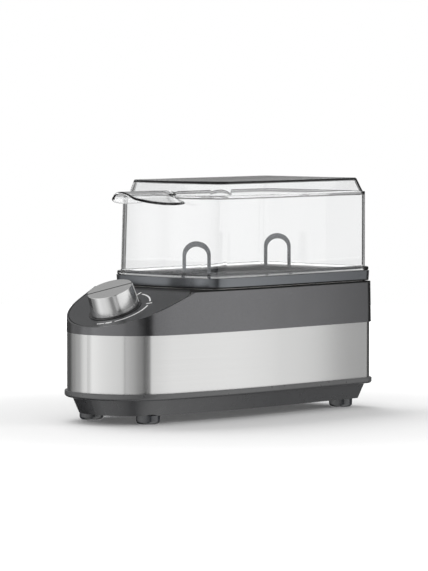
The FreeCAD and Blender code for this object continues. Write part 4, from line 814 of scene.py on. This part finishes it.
def make_floor():
    """A white disc that also glows a little, and more so further out. Mirrors don't see it."""
    mesh = bpy.data.meshes.new("floor")
    shape = bmesh.new()
    bmesh.ops.create_circle(shape, cap_ends=True, radius=FLOOR_RADIUS, segments=FLOOR_STEPS)
    shape.to_mesh(mesh)
    shape.free()
    floor = bpy.data.objects.new("floor", mesh)
    collection.objects.link(floor)
    floor.visible_glossy = False
    material = bpy.data.materials.new("floor_white")
    material.use_nodes = True
    tree = material.node_tree
    tree.nodes.clear()
    out = tree.nodes.new("ShaderNodeOutputMaterial")
    add = tree.nodes.new("ShaderNodeAddShader")
    matt = tree.nodes.new("ShaderNodeBsdfDiffuse")
    matt.inputs["Color"].default_value = FLOOR_COLOUR
    glow = tree.nodes.new("ShaderNodeEmission")
    far = tree.nodes.new("ShaderNodeVectorMath")
    far.operation = "LENGTH"
    tree.links.new(tree.nodes.new("ShaderNodeTexCoord").outputs["Object"], far.inputs[0])
    fade = tree.nodes.new("ShaderNodeMapRange")
    fade.interpolation_type = "SMOOTHSTEP"
    for socket, value in zip(("From Min", "From Max", "To Min", "To Max"), FLOOR_FADE + FLOOR_GLOW):
        fade.inputs[socket].default_value = value
    tree.links.new(far.outputs["Value"], fade.inputs["Value"])
    tree.links.new(straight_rays(tree, fade.outputs["Result"]), glow.inputs["Strength"])
    tree.links.new(matt.outputs[0], add.inputs[0])
    tree.links.new(glow.outputs[0], add.inputs[1])
    tree.links.new(add.outputs[0], out.inputs["Surface"])
    mesh.materials.append(material)


make_floor()


CAMERA_PLACE = (-1.7336, -1.5590, 0.2068)
CAMERA_HEADING = 42.0 - 0.149
CAMERA_PITCH = 3.169
CAMERA_LENS = 242.44

# What polished metal and glass see round the room, as (compass angle from +X, brightness).
ROOM = [
    (0, 0.07), (33, 0.07), (51, 0.10), (81, 0.12), (84, 0.20), (95, 0.55), (107, 0.50),
    (116, 0.54), (125, 0.90), (132, 1.03), (140, 0.78), (147, 1.18), (166, 1.05), (171, 1.02),
    (204, 0.87), (208, 0.80), (209.5, 0.45), (212, 0.68), (225, 0.55), (230, 0.45), (235, 0.32),
    (240, 0.22), (245, 0.02), (251, 0.12), (255, 0.25), (256.5, 0.85), (261, 0.87), (310, 1.08),
    (322, 0.96), (327, 0.50), (331, 0.08), (345, 0.08),
]
ROOM_PEAK = 1.2
ROOM_LIGHT = 0.62
# What the knob's side sees, lower down.
LOW_ROOM = [
    (0, 0.30), (50, 0.05), (104, 0.05), (118, 0.23), (126, 0.40), (138, 0.72), (150, 0.93),
    (172, 0.82), (190, 0.80), (208, 0.62), (222, 0.22), (232, 0.20), (246, 0.90), (256, 1.10),
    (285, 1.20), (310, 1.15), (335, 0.30),
]
# Elevations and compass angles, in degrees, where the parts of the room end.
LOW_START, LOW_END = -17.0, -25.0
LEFT_START, LEFT_END = -4.5, -7.0
LEFT_EDGE, LEFT_SOFT = 96.0, 12.0
CEILING_START, CEILING_END, CEILING_LIGHT = 16.0, 32.0, 0.42
CARD_MIDDLE, CARD_HALF, CARD_LOW, CARD_LIGHT = 42.0, 24.0, 1.0, 0.34
WINDOW_HALF, WINDOW_TOP, WINDOW_LIGHT = 10.0, 1.0, 1.0
SOFT_EDGE = 1.5
SOFT_RISE = 1.0


def make_room():
    """The world: white behind the object, an even light on matt surfaces, and for mirrors and
    glass the room's stripes, a card and a ceiling, and a bright window straight behind."""
    world = bpy.data.worlds.new("studio")
    bpy.context.scene.world = world
    world.use_nodes = True
    tree = world.node_tree
    tree.nodes.clear()

    def add(kind, **settings):
        node = tree.nodes.new(kind)
        for key, value in settings.items():
            setattr(node, key, value)
        return node

    def feed(value, socket):
        if isinstance(value, (int, float)):
            socket.default_value = value
        else:
            tree.links.new(value, socket)

    def math_node(operation, *values):
        node = add("ShaderNodeMath", operation=operation)
        for index, value in enumerate(values):
            feed(value, node.inputs[index])
        return node.outputs[0]

    def step(value, start, end):
        """0 before the start and 1 past the end, whichever of them is the higher."""
        low, high = min(start, end), max(start, end)
        node = add("ShaderNodeMapRange", interpolation_type="SMOOTHSTEP")
        node.inputs["From Min"].default_value = low
        node.inputs["From Max"].default_value = high
        node.inputs["To Min"].default_value = 0.0 if start < end else 1.0
        node.inputs["To Max"].default_value = 1.0 if start < end else 0.0
        tree.links.new(value, node.inputs["Value"])
        return node.outputs[0]

    def mixed(share, first, second):
        node = add("ShaderNodeMix", data_type="FLOAT")
        feed(share, node.inputs[0])
        feed(first, node.inputs[FIRST_NUMBER])
        feed(second, node.inputs[SECOND_NUMBER])
        return node.outputs[0]

    out = add("ShaderNodeOutputWorld")
    background = add("ShaderNodeBackground")
    background.inputs["Color"].default_value = (1, 1, 1, 1)
    direction = add("ShaderNodeSeparateXYZ")
    tree.links.new(add("ShaderNodeTexCoord").outputs["Generated"], direction.inputs[0])
    turn = math_node("ARCTAN2", direction.outputs["Y"], direction.outputs["X"])
    turn = math_node("FRACT", math_node("DIVIDE", turn, 2 * math.pi))

    def round_about(stops):
        """The brightness by compass angle."""
        ramp = add("ShaderNodeValToRGB")
        ramp.color_ramp.interpolation = "LINEAR"
        while len(ramp.color_ramp.elements) > 1:
            ramp.color_ramp.elements.remove(ramp.color_ramp.elements[0])
        first = ramp.color_ramp.elements[0]
        for index, (angle, light) in enumerate(stops):
            stop = first if index == 0 else ramp.color_ramp.elements.new(angle / 360)
            stop.position = angle / 360
            stop.color = (*[light / ROOM_PEAK] * 3, 1)
        tree.links.new(turn, ramp.inputs[0])
        return math_node("MULTIPLY", ramp.outputs[0], ROOM_PEAK)

    mirrored = round_about(ROOM)

    compass = math_node("MULTIPLY", turn, 360.0)
    rise = math_node("DEGREES", math_node("ARCSINE", direction.outputs["Z"]))
    aside = math_node("ABSOLUTE", math_node("SUBTRACT", compass, CARD_MIDDLE))
    card = math_node(
        "MULTIPLY", step(aside, CARD_HALF + SOFT_EDGE, CARD_HALF),
        step(rise, CARD_LOW, CARD_LOW + SOFT_RISE),
    )
    mirrored = mixed(card, mirrored, CARD_LIGHT)
    mirrored = mixed(step(rise, CEILING_START, CEILING_END), mirrored, CEILING_LIGHT)
    left = math_node(
        "MULTIPLY", step(rise, LEFT_START, LEFT_END),
        step(compass, LEFT_EDGE + LEFT_SOFT, LEFT_EDGE),
    )
    low = math_node("MAXIMUM", step(rise, LOW_START, LOW_END), left)
    mirrored = mixed(low, mirrored, round_about(LOW_ROOM))
    aside = math_node("ABSOLUTE", math_node("SUBTRACT", compass, CAMERA_HEADING))
    window = math_node(
        "MULTIPLY", step(aside, WINDOW_HALF + SOFT_EDGE, WINDOW_HALF),
        step(rise, WINDOW_TOP, WINDOW_TOP - SOFT_RISE),
    )
    mirrored = mixed(window, mirrored, WINDOW_LIGHT)

    path = add("ShaderNodeLightPath")
    shiny = math_node("MAXIMUM", path.outputs["Is Glossy Ray"], path.outputs["Is Transmission Ray"])
    seen = mixed(shiny, ROOM_LIGHT, mirrored)
    seen = mixed(path.outputs["Is Camera Ray"], seen, 1.0)
    tree.links.new(seen, background.inputs["Strength"])
    tree.links.new(background.outputs[0], out.inputs["Surface"])


make_room()


FLAG_LIGHT = 0.44
FLAG_COLOUR = (0.03, 0.03, 0.03, 1)
FLAG_START, FLAG_END = (0.447, -0.369), (0.575, -0.352)
FLAG_LOW, FLAG_HIGH = -0.4, 0.4


def make_flag():
    """A grey card beside the object, which only mirrors see."""
    mesh = bpy.data.meshes.new("flag")
    corners = [
        (*FLAG_START, FLAG_LOW), (*FLAG_END, FLAG_LOW),
        (*FLAG_END, FLAG_HIGH), (*FLAG_START, FLAG_HIGH),
    ]
    mesh.from_pydata(corners, [], [(0, 1, 2, 3)])
    flag = bpy.data.objects.new("flag", mesh)
    collection.objects.link(flag)
    material = bpy.data.materials.new("flag_grey")
    material.use_nodes = True
    surface = material.node_tree.nodes["Principled BSDF"]
    surface.inputs["Base Color"].default_value = FLAG_COLOUR
    surface.inputs["Roughness"].default_value = 1.0
    mesh.materials.append(material)
    surface.inputs["Emission Color"].default_value = (1, 1, 1, 1)
    surface.inputs["Emission Strength"].default_value = FLAG_LIGHT
    for kind in ("camera", "diffuse", "transmission", "volume_scatter", "shadow"):
        setattr(flag, f"visible_{kind}", False)


make_flag()


MIDDLE = (0.0, 0.0, 0.07)


def softbox(name, place, size, power):
    """A soft lamp aimed at the object, seen by neither mirrors nor glass."""
    lamp = bpy.data.lights.new(name, "AREA")
    lamp.shape = "RECTANGLE"
    lamp.size, lamp.size_y = size
    lamp.energy = power
    item = bpy.data.objects.new(name, lamp)
    collection.objects.link(item)
    item.location = place
    item.rotation_euler = (Vector(MIDDLE) - Vector(place)).to_track_quat("-Z", "Y").to_euler()
    item.visible_glossy = False
    item.visible_transmission = False


softbox("softbox_right", (0.9, -1.3, 0.8), (0.8, 0.8), 5.0)
softbox("softbox_back", (0.25, 0.85, 1.2), (1.2, 0.8), 12.0)


def make_camera():
    data = bpy.data.cameras.new("camera")
    data.lens = CAMERA_LENS
    data.sensor_width = 36.0
    data.sensor_fit = "AUTO"
    camera = bpy.data.objects.new("camera", data)
    collection.objects.link(camera)
    camera.location = CAMERA_PLACE
    heading, pitch = math.radians(CAMERA_HEADING), math.radians(CAMERA_PITCH)
    level = math.cos(pitch)
    aim = Vector((math.cos(heading) * level, math.sin(heading) * level, -math.sin(pitch)))
    camera.rotation_euler = aim.to_track_quat("-Z", "Y").to_euler()
    data.clip_start, data.clip_end = 0.05, 20.0
    bpy.context.scene.camera = camera


make_camera()
bpy.context.scene.view_settings.view_transform = "Standard"
